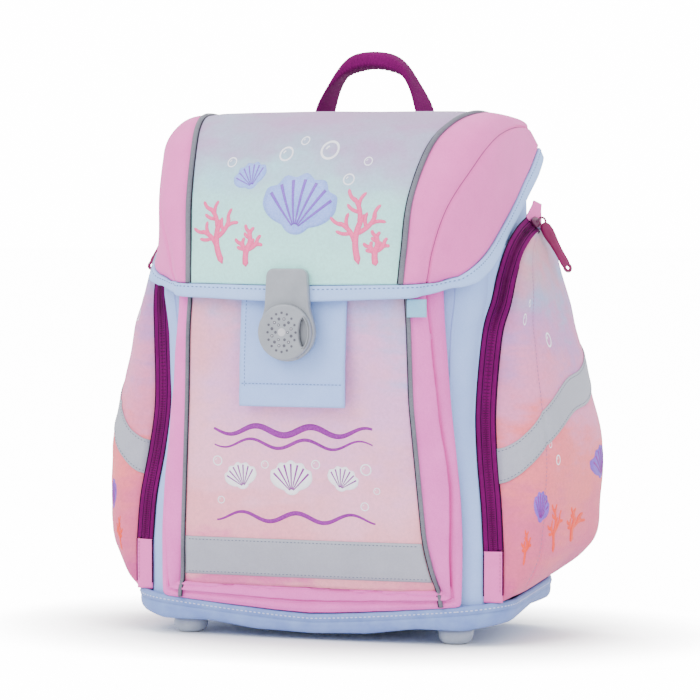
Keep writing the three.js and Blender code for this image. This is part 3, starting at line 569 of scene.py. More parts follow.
def moulded(name, base, dark, roughness, coat=0.0):
    """Moulded plastic or rubber with a fine grain and slightly dull hollows."""
    material, nodes, shader = surface(name, roughness, coat=coat)
    coords = nodes.add("ShaderNodeTexCoord")
    fine = nodes.noise(coords.outputs["Object"], 1500.0, 4.0, 0.6)
    broad = nodes.noise(coords.outputs["Object"], 60.0, 4.0, 0.6)
    tone = nodes.mix(nodes.ramp(broad, [(0.35, 0.0), (0.7, 1.0)]), colour(dark), colour(base))
    nodes.tree.links.new(tone, shader.inputs["Base Color"])
    rough = nodes.math("ADD", nodes.math("MULTIPLY", broad, 0.2), roughness - 0.1)
    nodes.tree.links.new(rough, shader.inputs["Roughness"])
    bump(nodes, shader, fine, 0.00004)
    return material


def thread(name, base):
    return cloth(name, base, base, 0.7, 0.3, 3000.0, 0.00004)


# %% [markdown]
# The palette is soft: mint on the lid that turns lilac at the top, grey-blue running into pink and
# coral on the pockets, smooth pink panels, light blue bindings and a deep purple zipper.

# %% Materials
lid_print = print_cloth(
    "lid print",
    [(0.0, "D0FAF6"), (0.35, "CEF4F4"), (0.6, "C8E8F2"), (0.82, "C8D2E4"), (1.0, "CEBEDA")],
    270, 402, 0.7, (0.4, 0.5), ("D6B8DC", 9.0, 0.75, 0.4),
)
pocket_print = print_cloth(
    "front pocket print",
    [(0.0, "F2A0CC"), (0.14, "FFC6D4"), (0.36, "FFD0E4"), (0.6, "F4CAEC"), (0.82, "D2D0F2"), (1.0, "C8DEF2")],
    30, 310, 3.1, (0.9, 0.0), ("FFC4C4", 8.0, 0.6, 0.0),
)
side_print = print_cloth(
    "side pocket print",
    [(0.0, "E27EBA"), (0.16, "EE94BA"), (0.34, "FCA4B0"), (0.5, "F4B6D6"),
     (0.68, "DEB6E0"), (0.84, "C0CAE8"), (1.0, "B2D2E4")],
    36, 330, 5.4, (0.0, 0.0), ("FF9C9C", 9.0, 0.5, 0.0),
)
pink_cloth = cloth("smooth pink cloth", "F6A0DA", "EC96D0", 0.6, 0.05, 1500.0, 0.00005)
gusset_cloth = cloth("soft pink cloth", "F6A2E0", "EA92D2", 0.6, 0.05, 1500.0, 0.00005)
blue_cloth = cloth("light blue cloth", "C6DAFA", "BCD0F4", 0.66, 0.05, 1400.0, 0.00007)
binding_cloth = cloth("binding cloth", "CCE0FC", "C0D6F8", 0.7, 0.08, 1500.0, 0.00008)
lining_cloth = cloth("plain back cloth", "BFC9E0", "B0BCDA", 0.8, 0.1, 1100.0, 0.00015)
mesh_cloth = cloth("spacer mesh", "A9A6C4", "8E8BAE", 0.9, 0.2, 520.0, 0.0005)
grey_thread = thread("pale thread", "D8DEF0")
pink_thread = thread("pink thread", "D58ABA")
seam_pink = thread("seam pink", "B26A9C")
blue_thread = thread("blue thread", "93A6CC")
dark_purple = thread("dark purple edge", "4E1C5A")
dark_thread = thread("grey thread", "8F95A8")
handle_cloth = cloth("handle webbing", "A41492", "8C0C7C", 0.72, 0.08, 700.0, 0.0003)
webbing_cloth = cloth("strap webbing", "7E7A97", "6C6885", 0.75, 0.15, 650.0, 0.0003)
tab_cloth = cloth("woven ribbon", "BCDFF0", "A6D2E8", 0.7, 0.1, 1600.0, 0.0001)
piping_grey = cloth("grey piping", "A6A8B2", "8C8D98", 0.45, 0.0, 1800.0, 0.00006)
# Dark cloth for the thin tubes beside the piping beads: painted shade in the crevice between bead and panel
piping_crevice_shade = cloth("painted piping crevice shade", "4E4260", "40344E", 0.7, 0.0, 1800.0, 0.00004)
reflective = cloth("reflective film", "CBCDD5", "BEC0CA", 0.36, 0.0, 900.0, 0.00008)
tray_plastic = moulded("tray plastic", "A8BCE0", "9AAED8", 0.5)
foot_rubber = moulded("foot rubber", "C8CDD6", "BCC1CC", 0.32, coat=0.2)
latch_plastic = moulded("latch plastic", "B9BCC2", "B1B4BA", 0.36, coat=0.1)
# Darker grey for the latch's hollow dots: painted shade in the hollows
latch_hollow_shade = moulded("latch hollows painted shade", "8E8E97", "82828B", 0.5)
latch_ring = moulded("latch rings", "D4D4D8", "C9C9CE", 0.34)
zip_tape = cloth("zipper tape", "A41094", "8E0A82", 0.65, 0.05, 1500.0, 0.0001)
zip_coil = moulded("zipper coil", "8A1C7C", "6E0E66", 0.42)
slider_paint = moulded("slider lacquer", "8A3C76", "7A2E68", 0.3, coat=0.3)
puller_plastic = moulded("puller plastic", "AC3488", "982874", 0.38, coat=0.1)
adjuster_plastic = moulded("adjuster plastic", "6C6880", "5C5870", 0.4)
for deep in (handle_cloth, zip_tape, zip_coil, dark_purple):
    deep_inputs = deep.node_tree.nodes["Principled BSDF"].inputs
    deep_inputs["Specular IOR Level"].default_value = 0.08
    deep_inputs["Sheen Weight"].default_value = 0.0
print("materials:", len(bpy.data.materials))

# %% [markdown]
# The lid is one curved form in four panels. Its table gives, from the lower front edge over the top to
# the back, the middle line, the piping, the corner seam, the inner line of the binding and the edge.

# %% Lid surface
LID_TOP, LID_LOW, LID_HALF, LID_FRONT, LID_BACK = 404.0, 260.0, 141.0, -79.0, 126.0
LID_ROWS = named(
    "my mz px py pz sx sy sz ix iy iz ex ey ez",
    [
        (0.000, 0.000, 0.603, 0.029, 0.021, 0.716, 0.093, 0.031, 0.809, 0.141, 0.042, 0.844, 0.166, 0.042),
        (0.002, 0.083, 0.603, 0.039, 0.090, 0.720, 0.107, 0.097, 0.816, 0.161, 0.097, 0.887, 0.200, 0.076),
        (0.020, 0.271, 0.613, 0.059, 0.271, 0.748, 0.107, 0.264, 0.908, 0.210, 0.167, 0.957, 0.239, 0.111),
        (0.059, 0.535, 0.631, 0.093, 0.528, 0.816, 0.141, 0.493, 0.943, 0.337, 0.250, 0.979, 0.366, 0.194),
        (0.180, 0.806, 0.674, 0.210, 0.792, 0.894, 0.288, 0.712, 0.955, 0.507, 0.385, 0.976, 0.530, 0.335),
        (0.327, 0.944, 0.730, 0.349, 0.931, 0.934, 0.395, 0.822, 0.966, 0.639, 0.514, 0.986, 0.665, 0.464),
        (0.517, 1.000, 0.780, 0.517, 0.992, 0.942, 0.541, 0.888, 0.970, 0.737, 0.618, 0.992, 0.766, 0.562),
        (0.727, 1.000, 0.794, 0.727, 0.986, 0.935, 0.727, 0.920, 0.975, 0.834, 0.715, 1.000, 0.863, 0.660),
        (0.932, 0.989, 0.794, 0.932, 0.965, 0.905, 0.932, 0.912, 0.965, 0.940, 0.812, 0.993, 0.945, 0.750),
        (1.000, 0.951, 0.780, 1.000, 0.931, 0.850, 1.000, 0.870, 0.925, 0.995, 0.800, 0.950, 1.000, 0.745),
    ],
)
LID_LAST = len(LID_ROWS) - 1
LID_COLUMNS = by_column(LID_ROWS)


def lid_lines(row):
    """The five column points of the lid at a row, as shares."""
    at = {key: smooth(values, row) for key, values in LID_COLUMNS.items()}
    xs = [0.0] + [at[k + "x"] for k in "psie"]
    return xs, [at[k + "y"] for k in "mpsie"], [at[k + "z"] for k in "mpsie"]


def lid_at(lines, side, column):
    xs, ys, zs = lines
    if column < 1:
        bow = column * (1 - (1 - column) ** 2)
        x, y, z = xs[1] * column, lerp(ys[0], ys[1], bow), lerp(zs[0], zs[1], bow)
    else:
        x, y, z = smooth(xs, column), smooth(ys, column), smooth(zs, column)
    return Vector((side * x * LID_HALF, lerp(LID_FRONT, LID_BACK, y), lerp(LID_LOW, LID_TOP, z)))


def lid_point(side, row, column):
    return lid_at(lid_lines(row), side, column)


def lid_step(row, column, towards, distance):
    """Step in column units that matches a distance in millimetres beside a column line."""
    reach = (lid_point(1, row, column) - lid_point(1, row, column + towards * 0.25)).length
    return distance / reach * 0.25 * towards


LID_INSIDE = Vector((0, 60, 180))


def lid_inside(_):
    return LID_INSIDE


def edge_puff(t, width=0.06):
    """1 in the field of a padded panel, falling to 0 at both borders, for t from 0 to 1."""
    return ease(min(t, 1 - t) / width)


# %% [markdown]
# The printed middle panel lies between the two pipings. It is padded, so its field stands a little
# higher than its borders.

# %% Lid middle panel
PIPING = 2.0
LID_UP, LID_ACROSS = 96, 64
grid = []
for row in spread(1.03, LID_LAST, LID_UP):
    lines = lid_lines(row)
    edge = 1 + lid_step(row, 1, -1, 1.0)
    grid.append([lid_at(lines, -1 if c < 0 else 1, abs(c)) for c in spread(-edge, edge, LID_ACROSS)])


def lid_swell(i, j, p):
    return 1.3 * edge_puff(j / LID_ACROSS) * edge_puff(i / LID_UP) - 0.4 + 0.7 * ripple(p, 55)


lid_field = raised(grid, lid_inside, lid_swell)
lid_centre = sheet(
    "lid middle panel", lid_field, lid_inside, 3.0, lid_print, nodes=["lid_centre_panel"], slot="lid_print"
)
print("lid middle:", len(lid_centre.data.polygons), "faces")

# %% [markdown]
# The pink wings wrap the corner of the lid. A seam runs along that corner from the back to the
# lower edge: the two parts puff a little on both sides and dip along the seam.

# %% Lid wings
WING_CORNER = 0.5
WING_UP, WING_ACROSS = 84, 54


def wing_foot(column):
    """Row where a wing ends below: level in the middle and rounded up towards its outer corner."""
    return 1.03 + WING_CORNER * clamp((column - 2.2) / 0.8) ** 2.4


for side, word in SIDES:
    columns = spread(0, 1, WING_ACROSS)
    grid = []
    for rise in spread(0, 1, WING_UP):
        line = []
        for c in columns:
            row = lerp(wing_foot(1 + 2 * c), LID_LAST, rise)
            start = 1 + lid_step(row, 1, 1, 0.8)
            end = 3 + lid_step(row, 3, -1, 0.5)
            line.append(lid_point(side, row, lerp(start, end, c)))
        grid.append(line)

    def wing_height(i, j, p):
        column = 1 + 2 * columns[j]
        seam = math.exp(-(((column - 2.0) / 0.045) ** 2))
        fold = math.exp(-(((column - 2.0) / 0.35) ** 2))
        pad = 1.6 * edge_puff(columns[j]) * edge_puff(i / WING_UP)
        return pad - 0.5 - 2.2 * seam + 0.8 * fold + 1.0 * ripple(p, 42, side)

    grid = raised(grid, lid_inside, wing_height)
    wing = sheet(
        f"lid wing {word}", grid, lid_inside, 3.0, pink_cloth, nodes=[f"lid_wing_{word}"], slot="pink_cloth"
    )
    seam_line = [line[WING_ACROSS // 2] for line in grid]
    finish_mesh(f"lid wing seam {word}", tube_bm(seam_line[1:-1], 0.42, 6), seam_pink)
    print("wing", word, len(wing.data.polygons), "faces")

# %% [markdown]
# Piping is a cord in a folded strip, sewn between two panels. A thin dark tube on the panel side of
# the grey bead is painted shade in the crevice between bead and panel.

# %% Lid piping


def lid_piping_line(side, offset, sink):
    points = []
    for row in spread(1.04, LID_LAST - 0.04, 120):
        p = lid_point(side, row, 1 + lid_step(row, 1, -1 if offset < 0 else 1, abs(offset)))
        points.append(p + (LID_INSIDE - p).normalized() * sink)
    return points


for side, word in SIDES:
    bead = tube_bm(lid_piping_line(side, 0.3, 0.2), 2.1, 12)
    finish_mesh(f"lid piping {word}", bead, piping_grey, nodes=[f"lid_piping_{word}"], slot="piping_cloth")
    # The thin dark tube beside the bead is painted shade in the crevice
    line = tube_bm(lid_piping_line(side, -2.1, 0.3), 0.55, 8)
    finish_mesh(f"lid piping seam {word}", line, piping_crevice_shade)

# %% [markdown]
# A folded ribbon binds the lid's free edge, front and sides. It is a band with a rolled edge that
# stands a little proud of the panel and carries one row of stitches.

# %% Lid binding


def binding_path():
    """Rows of (side, inner row, inner column, outer row, outer column) round the free edge of the lid."""
    first = 1.0 + WING_CORNER
    sides = []
    for row in spread(LID_LAST, first, 60):
        drop = (0.28 + 0.1 * WING_CORNER) * ease((first + 0.9 - row) / 0.9)
        sides.append((row, 3, row - drop, 4))
    corner = []
    for t in spread(0, 1, 22)[1:]:
        column = lerp(3, 1.3, t)
        outer_row = 0.92 * (1 - t) ** 2.2 * (first - 0.38) / 1.12
        outer_column = lerp(4, 1.3, t) - 0.32 * math.sin(math.pi * t)
        corner.append((wing_foot(column) - 0.03, column, outer_row, outer_column))
    path = [(-1, *c) for c in sides] + [(-1, *c) for c in corner]
    path += [(-1 if c < 0 else 1, 1, abs(c), 0, abs(c)) for c in spread(-1.3, 1.3, 60)[1:-1]]
    path += [(1, *c) for c in reversed(corner)] + [(1, *c) for c in reversed(sides)]
    return path


rings, stitch_points, stitch_normals = [], [], []
path = binding_path()
inner_line = [lid_point(s, a, b) for s, a, b, _, _ in path]
outer_line = [lid_point(s, a, b) for s, _, _, a, b in path]
for k, (a, b) in enumerate(zip(inner_line, outer_line)):
    along = inner_line[min(k + 1, len(path) - 1)] - inner_line[max(k - 1, 0)]
    span = b - a
    out = along.cross(span).normalized()
    if out.dot(a - LID_INSIDE) < 0:
        out.negate()
    wave = 0.35 * ripple(a, 16)
    profile = [
        (0.0, 0.1), (0.03, 0.9), (0.12, 1.25), (0.35, 1.05 + wave), (0.6, 1.0 + wave), (0.85, 1.1), (0.97, 0.4),
        (1.0, -1.0), (0.99, -2.6), (0.9, -3.4), (0.6, -3.7), (0.3, -3.6), (0.05, -3.2), (0.0, -1.5),
    ]
    rings.append([a + span * u + out * h for u, h in profile])
    stitch_points.append(a + span * 0.24 + out * (1.15 + wave))
    stitch_normals.append(out)
binding = finish_mesh("lid binding", rings_bm(rings), binding_cloth, nodes=["lid_binding"], slot="binding_cloth")


def nearest_normal(points, normals):
    def find(p):
        best = min(range(len(points)), key=lambda i: (points[i] - p).length_squared)
        return normals[best]

    return find


stitches = stitch_bm(stitch_points, nearest_normal(stitch_points, stitch_normals), 3.6, 2.0, 0.42, 0.05)
finish_mesh("lid binding stitches", stitches, blue_thread)
print("binding:", len(binding.data.polygons), "faces")

# %% [markdown]
# The body is an open cloth box with soft corners, a little waisted. Only its front strips and the
# strips under the lid show.

# %% Body
BODY_HALF, BODY_FRONT, BODY_BACK, BODY_FLOOR, BODY_CORNER, BODY_WALL = 133.0, -31.0, 122.0, 16.0, 27.0, 3.0
WAIST = named("height half", [
    (0.00, 0.960), (0.10, 0.985), (0.18, 1.000), (0.26, 0.985), (0.36, 0.955),
    (0.45, 0.940), (0.58, 0.955), (0.65, 0.985), (0.75, 0.990), (1.00, 0.975)])
RIM = named("y z", [
    (-0.04, 0.705), (0.10, 0.722), (0.22, 0.772), (0.43, 0.835),
    (0.60, 0.881), (0.76, 0.915), (0.92, 0.945), (1.00, 0.955)])


def rounded_loop(half, front, rear, corner, per_corner, per_side):
    """Points (x, y) round a rounded rectangle, starting at the front right corner."""
    r = corner
    points = []

    def arc(cx, cy, start):
        for a in spread(start, start + math.pi / 2, per_corner):
            points.append((cx + r * math.cos(a), cy + r * math.sin(a)))

    def side(x0, y0, x1, y1):
        for t in spread(0, 1, per_side)[1:-1]:
            points.append((lerp(x0, x1, t), lerp(y0, y1, t)))

    arc(half - r, front + r, -math.pi / 2)
    side(half, front + r, half, rear - r)
    arc(half - r, rear - r, 0)
    side(half - r, rear, -half + r, rear)
    arc(-half + r, rear - r, math.pi / 2)
    side(-half, rear - r, -half, front + r)
    arc(-half + r, front + r, math.pi)
    side(-half + r, front, half - r, front)
    return points


def rim_height(x, y):
    """Height of the body's rim: a table along the sides, level in front under the lid."""
    if y > 0:
        return LID_TOP * straight(RIM, "y", y / BODY_BACK, "z")
    inward = clamp((BODY_HALF - abs(x)) / BODY_CORNER)
    front = lerp(LID_TOP * RIM[0]["z"], LID_TOP * 0.87, inward)
    return front + (LID_TOP * 0.02 if abs(x) < BODY_HALF * 0.6 else 0)


body_outline = rounded_loop(BODY_HALF, BODY_FRONT, BODY_BACK, BODY_CORNER, 10, 14)


def body_ring(height, inset):
    ring = []
    mid, half = (BODY_FRONT + BODY_BACK) / 2, (BODY_BACK - BODY_FRONT) / 2
    for x, y in body_outline:
        z = lerp(BODY_FLOOR + 1.2, rim_height(x, y), height)
        waist = straight(WAIST, "height", z / LID_TOP, "half")
        p = Vector((x * waist * (1 - inset / BODY_HALF), mid + (y - mid) * (1 - inset / half), z))
        sway = -0.5 * abs(ripple(p, 38, 2.0))
        out = Vector((x / BODY_HALF, (y - mid) / half, 0)).normalized()
        ring.append(p + out * sway)
    return ring


rings = [body_ring(h, i) for h, i in ((0, 32), (0.012, 20), (0.02, 10), (0.035, 4), (0.05, 1.2))]
rings += [body_ring(h, 0) for h in spread(0.07, 1.0, 44)]
rings += [body_ring(h, BODY_WALL) for h in spread(1.0, 0.1, 20)]
rings += [body_ring(0.055, BODY_WALL + 5), body_ring(0.03, 34)]
body = finish_mesh("body", rings_bm(rings), blue_cloth, nodes=["body_shell"], slot="blue_cloth")
print("body:", len(body.data.polygons), "faces")

# %% [markdown]
# The base is a moulded tray. Its rim is folded and stitched all round, and the lower edge waves.

# %% Base tray
BASE_HALF, BASE_FRONT, BASE_BACK, BASE_CORNER, BASE_WALL = 153.0, -35.0, 125.0, 37.0, 3.0


def base_rim(x, y):
    share = abs(x) / BASE_HALF
    if y < 0:
        return BODY_FLOOR * (1.3 + 0.85 * share**1.3)
    return BODY_FLOOR * (2.15 + 0.6 * y / BASE_BACK)


def base_under(x, y):
    share = abs(x) / BASE_HALF
    rise = 0.42 + 0.35 * clamp((share - 0.3) / 0.24) + 0.35 * clamp((share - 0.8) / 0.2)
    behind = 0.45 * clamp(y / (BASE_BACK * 0.4)) * clamp((share - 0.72) / 0.24)
    return BODY_FLOOR * (rise + behind)


base_outline = rounded_loop(BASE_HALF, BASE_FRONT, BASE_BACK, BASE_CORNER, 14, 26)


def base_ring(scale, inset, share, stand, proud=0.0):
    """A ring round the tray at a share of the way from its lower edge to its rim, plus a stand."""
    ring = []
    mid, depth = (BASE_FRONT + BASE_BACK) / 2, BASE_BACK - BASE_FRONT
    for x, y in base_outline:
        px = x * scale * (1 - (inset - proud) / BASE_HALF)
        py = mid + (y - mid) * scale * (1 - (inset - proud) * 2 / depth)
        lobe = 0.9 * math.cos(px / 17.0) * clamp(1 - abs(px) / 95) if scale > 0.9 else 0.0
        ring.append(Vector((px, py, lerp(base_under(px, py) - lobe, base_rim(x, y), share) + stand)))
    return ring


# Scale, inset, share, stand and proud of each ring: under the tray, up its wall and back down inside
BASE_RINGS = [
    (0.3, 0, 0, 0), (0.54, 0, 0, 0), (0.8, 0, 0, 0), (0.93, 0, 0, -0.2), (0.965, 0, 0, 0), (0.985, 0, 0, 1.1),
    (0.996, 0, 0, 3), (1, 0, 0, 5), (1, 0, 0.5, -1, 0.3), (1, 0, 1, -7.4, 0.2), (1, 0, 1, -6.6, -0.5),
    (1, 0, 1, -5.8, 0.5), (1, 0, 1, -3, 0.9), (1, 0, 1, -0.8, 0.6), (1, 0.8, 1, 0.1), (1, BASE_WALL - 0.8, 1, 0.1),
    (1, BASE_WALL, 1, -1), (1, BASE_WALL, 0.6, 0), (0.995, BASE_WALL, 0, 5.5), (0.965, BASE_WALL, 0, BASE_WALL),
    (0.8, 0, 0, BASE_WALL), (0.54, 0, 0, BASE_WALL), (0.3, 0, 0, BASE_WALL),
]
rings = [base_ring(*row) for row in BASE_RINGS]
finish_mesh("base tray", rings_bm(rings), tray_plastic, nodes=["base_tray"], slot="tray_plastic")
hem = base_ring(1, 0, 1, -3.4, 0.9)
hem_line = hem + hem[:1]


def plan_normal(p):
    """Outward direction at the tray's wall, seen from above."""
    x, y = p.x / BASE_HALF, (p.y - 45) / 80
    return Vector((x * abs(x) ** 5, y * abs(y) ** 5, 0)).normalized()


finish_mesh("base rim stitches", stitch_bm(hem_line, plan_normal, 3.6, 2.2, 0.42, 0.0), grey_thread)

# %% [markdown]
# Each foot is a rubber dome turned on a lathe, flat where it stands, with a small collar on top.

# %% Feet
FOOT_RADIUS = 13.5
FOOT_PROFILE = [
    (0.5, 0.0), (0.62, 0.02), (0.78, 0.1), (0.9, 0.25), (0.975, 0.45),
    (1.0, 0.66), (0.985, 0.82), (0.94, 0.92), (0.86, 1.0)]

for name in ("foot_front_right", "foot_front_left", "foot_rear_right", "foot_rear_left"):
    low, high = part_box(name)
    x, y, height = (low[0] + high[0]) / 2 / MM, (low[1] + high[1]) / 2 / MM + SHIFT, high[2] / MM
    rings = []
    for share, rise in FOOT_PROFILE:
        r = share * FOOT_RADIUS
        rings.append([Vector((x + math.cos(a) * r, y + math.sin(a) * r, rise * height)) for a in angles(48)])
    finish_mesh(name.replace("_", " "), rings_bm(rings), foot_rubber, nodes=[name], slot="foot_rubber")

# %% [markdown]
# The front pocket is a printed panel with a pink gusset that folds in at the sides and the bottom.

# %% Front pocket
POCKET_HALF, POCKET_DEPTH, POCKET_TOP, POCKET_FOOT = 107.0, 31.0, 322.0, 36.0
POCKET_UP, POCKET_ACROSS = 110, 72
POCKET_ROWS = named("z half out join", [
    (0.00, 0.995, 0.08, 1.110), (0.05, 0.955, 0.36, 1.125), (0.15, 0.916, 0.68, 1.135),
    (0.27, 0.893, 0.78, 1.120), (0.52, 0.845, 0.98, 1.045), (0.71, 0.832, 1.02, 1.000),
    (0.83, 0.810, 1.00, 0.985), (0.93, 0.790, 0.92, 0.970), (1.00, 0.770, 0.62, 0.950)])


def pocket_row(z):
    share = (z - POCKET_FOOT) / (POCKET_TOP - POCKET_FOOT)
    near = [clamp(share + d, 0, 1) for d in (-0.03, -0.015, 0, 0.015, 0.03)]
    half, out, join = (sum(straight(POCKET_ROWS, "z", s, k) for s in near) / 5 for k in ("half", "out", "join"))
    return half * POCKET_HALF, BODY_FRONT - out * POCKET_DEPTH, join * POCKET_HALF


def pocket_face(x, z):
    half, face, _ = pocket_row(z)
    return Vector((x, face - 2.2 * (1 - (x / half) ** 2), z))


POCKET_INSIDE = Vector((0, 60, 200))


def pocket_inside(_):
    return POCKET_INSIDE


grid = []
for share in spread(0.02, 1, POCKET_UP):
    z = lerp(POCKET_FOOT, POCKET_TOP, share)
    edge = pocket_row(z)[0] - 1.0
    grid.append([pocket_face(x, z) for x in spread(-edge, edge, POCKET_ACROSS)])


def pocket_wave(i, j, p):
    border = edge_puff(j / POCKET_ACROSS, 0.05)
    low = math.exp(-(((p.z - 48) / 16) ** 2))
    swell = 1.2 + 1.0 * ripple(p, 62, 4.0) + 0.4 * ripple(p, 23, 7.0)
    return border * swell - 0.6 + low * 0.6 * ripple(p, 15, 1.0)


pocket_grid = raised(grid, pocket_inside, pocket_wave)
pocket_panel = sheet(
    "front pocket panel", pocket_grid, pocket_inside, 2.2, pocket_print,
    nodes=["pocket_front_panel"], slot="pocket_print",
)
print("front pocket:", len(pocket_panel.data.polygons), "faces")

# %% [markdown]
# The gusset is soft and a little long for its seam, so it folds: one deep crease runs down its middle
# and short gathers run off it.

# %% Front pocket gusset
GUSSET_ACROSS = 40
GUSSET_CREASE = named("z share", [
    (36, 0.50), (69, 0.53), (120, 0.66), (161, 0.59), (222, 0.48), (250, 0.43), (322, 0.40)])


def gusset_side(side, z):
    half, face, join = pocket_row(z)
    start = Vector((side * (half + 0.8), face + 1.2, z))
    foot = ease((POCKET_FOOT + 48 - z) / 40)
    low = lerp(z, base_rim(join, BODY_FRONT) + 0.6, foot**2)
    end = Vector((side * join, BODY_FRONT - lerp(0.6, 1.8, foot), low))
    bow = start.lerp(end, 0.5) + Vector((side * 5, -4, 0))
    return start, bow, end


def gusset_low(share):
    half, face, join = pocket_row(POCKET_FOOT)
    start = Vector((share * (half + 1), face - 1.6, POCKET_FOOT + 6))
    x = share * join
    end = Vector((x, BODY_FRONT - 1.8, base_rim(x, BODY_FRONT) + 0.6))
    bow = start.lerp(end, 0.5) + Vector((0, -4.0, -1))
    return start, bow, end


stations = [gusset_side(-1, lerp(POCKET_FOOT, POCKET_TOP, h)) for h in spread(1.0, 0.03, 90)]
stations += [gusset_low(share) for share in spread(-0.985, 0.985, 56)]
stations += [gusset_side(1, lerp(POCKET_FOOT, POCKET_TOP, h)) for h in spread(0.03, 1.0, 90)]
grid = [
    [start.lerp(bow, t).lerp(bow.lerp(end, t), t) for t in spread(0, 1, GUSSET_ACROSS)]
    for start, bow, end in stations
]


def gusset_wave(i, j, p):
    t = j / GUSSET_ACROSS
    middle = straight(GUSSET_CREASE, "z", p.z, "share")
    crease = math.exp(-(((t - middle - 0.02) / 0.04) ** 2))
    near, far = ease(t / middle) ** 0.7, ease((t - middle - 0.02) / (1 - middle) * 1.9)
    lobe = 3.4 * near if t < middle else 2.6 * far
    gather = ripple(Vector((p.x, p.y, p.z * 0.4)), 12, 3.0) * math.sin(math.pi * t)
    return edge_puff(t, 0.1) * (lobe + 1.5 * gather) - 4.6 * crease - 0.1


grid = raised(grid, pocket_inside, gusset_wave)
sheet("front pocket gusset", grid, pocket_inside, 1.6, gusset_cloth, nodes=["pocket_gusset"], slot="pink_cloth")

for side, word in SIDES:
    heights = [lerp(POCKET_FOOT, POCKET_TOP, h) for h in spread(0.985, -0.02, 110)]
    lines = [(z, *pocket_row(z)[:2], 4.5 * ease((46 - z) / 12)) for z in heights]
    bead = tube_bm([Vector((side * half, face + 0.4 - proud, z)) for z, half, face, proud in lines], 1.7, 12)
    finish_mesh(f"front pocket piping {word}", bead, piping_grey, nodes=[f"pocket_piping_{word}"], slot="piping_cloth")
    # The thin dark tube beside the bead is painted shade in the crevice
    line = tube_bm([Vector((side * (half - 1.9), face - 0.2 - proud, z)) for z, half, face, proud in lines], 0.4, 8)
    finish_mesh(f"front pocket piping seam {word}", line, piping_crevice_shade)

# %% [markdown]
# The reflective stripe is a strip of silver film cloth sewn flat on the panel with two rows of stitches.

# %% Front stripe
STRIPE_LOW, STRIPE_HIGH = POCKET_FOOT + 13, POCKET_FOOT + 43


def on_pocket(x, z, lift):
    """A point on the finished front panel, lifted forwards."""
    share = clamp(((z - POCKET_FOOT) / (POCKET_TOP - POCKET_FOOT) - 0.02) / 0.98)
    across = clamp((x / (pocket_row(z)[0] - 1.0) + 1) / 2)
    p = on_grid(pocket_grid, share * POCKET_UP, across * POCKET_ACROSS)
    return Vector((x, p.y - lift, z))


grid = []
for z in spread(STRIPE_LOW, STRIPE_HIGH, 14):
    half = pocket_row(z)[0] - PIPING - 0.7
    grid.append([on_pocket(x, z, 0.9) for x in spread(-half, half, 72)])
sheet(
    "front reflective stripe", grid, pocket_inside, 0.7, reflective, nodes=["front_stripe"], slot="reflective_cloth"
)
stitches = bmesh.new()
for z in (STRIPE_LOW + 2.2, STRIPE_HIGH - 2.2):
    half = pocket_row(z)[0] - 5
    row_points = [on_pocket(x, z, 0.95) for x in spread(-half, half, 70)]
    join_bm(stitches, stitch_bm(row_points, forwards, 3.0, 1.7, 0.34, 0.0))
finish_mesh("front stripe stitches", stitches, dark_thread)

# %% [markdown]
# The closure patch is a flap of doubled cloth that hangs from under the lid and carries the latch.
# Its lower end is turned up and sewn, and one side shows a row of stitches.

# %% Closure patch
PATCH_TOP, PATCH_FOOT, PATCH_HALF, PATCH_WALL = 303.0, 181.0, 42.0, 2.6


def patch_line(share):
    z = lerp(PATCH_FOOT, PATCH_TOP, share)
    stand = lerp(12, 0.85, clamp(share * 1.2) ** 0.8)
    return max(pocket_face(0, z).y - stand, LID_FRONT + 7.2) - PATCH_WALL / 2 + 0.4, z


def patch_front(x, share, lift):
    """A point that stands a lift in front of the patch."""
    y, z = patch_line(share)
    return Vector((x, y - PATCH_WALL / 2 - lift, z))


rings = []
for share in spread(0, 1, 60):
    y, z = patch_line(share)
    turned = 0.9 * ease((0.13 - share) / 0.03) if share < 0.13 else 0.0
    lip = 1.0 - 0.5 * ease((0.02 - share) / 0.02)
    half_wall = PATCH_WALL / 2 * lip
    sway = 0.5 * ripple(Vector((0, 0, z)), 30)
    ring = []
    for t in spread(-1, 1, 26):
        ring.append(Vector((t * PATCH_HALF, y - half_wall - turned - sway * 0.5 - 0.5 * (1 - t * t), z)))
    for t in spread(1, -1, 26):
        ring.append(Vector((t * PATCH_HALF, y + half_wall + turned * 0.3 - 0.5 * (1 - t * t), z)))
    rings.append(ring)
patch = finish_mesh("closure patch", rings_bm(rings), blue_cloth, nodes=["closure_patch"], slot="blue_cloth")
stitches = bmesh.new()
side_row = [patch_front(-PATCH_HALF + 4, s, 0.15) for s in spread(0.02, 0.8, 40)]
hem_row = [patch_front(t * (PATCH_HALF - 1), 0.14, 0.45 + 0.5 * (1 - t * t)) for t in spread(-1, 1, 30)]
for line in (side_row, hem_row):
    join_bm(stitches, stitch_bm(line, forwards, 2.9, 1.9, 0.3, 0.0))
finish_mesh("closure patch stitches", stitches, blue_thread)

# %% [markdown]
# The latch is moulded: a plate on the lid runs into a round body with a raised disc, a pattern of
# dots and rings, and a finger slot at one side.

# %% Latch
LATCH_HALF, LATCH_CENTRE, LATCH_TOP = 22.0, 237.5, 285.0
LATCH_BACK = LID_FRONT - 0.3
PLATE_DEPTH, DISC_DEPTH = 6.0, 5.0
DISC_REAR = LATCH_BACK - PLATE_DEPTH - 0.3
DISC_FRONT = DISC_REAR - DISC_DEPTH
ROUND_OVER = 1.4


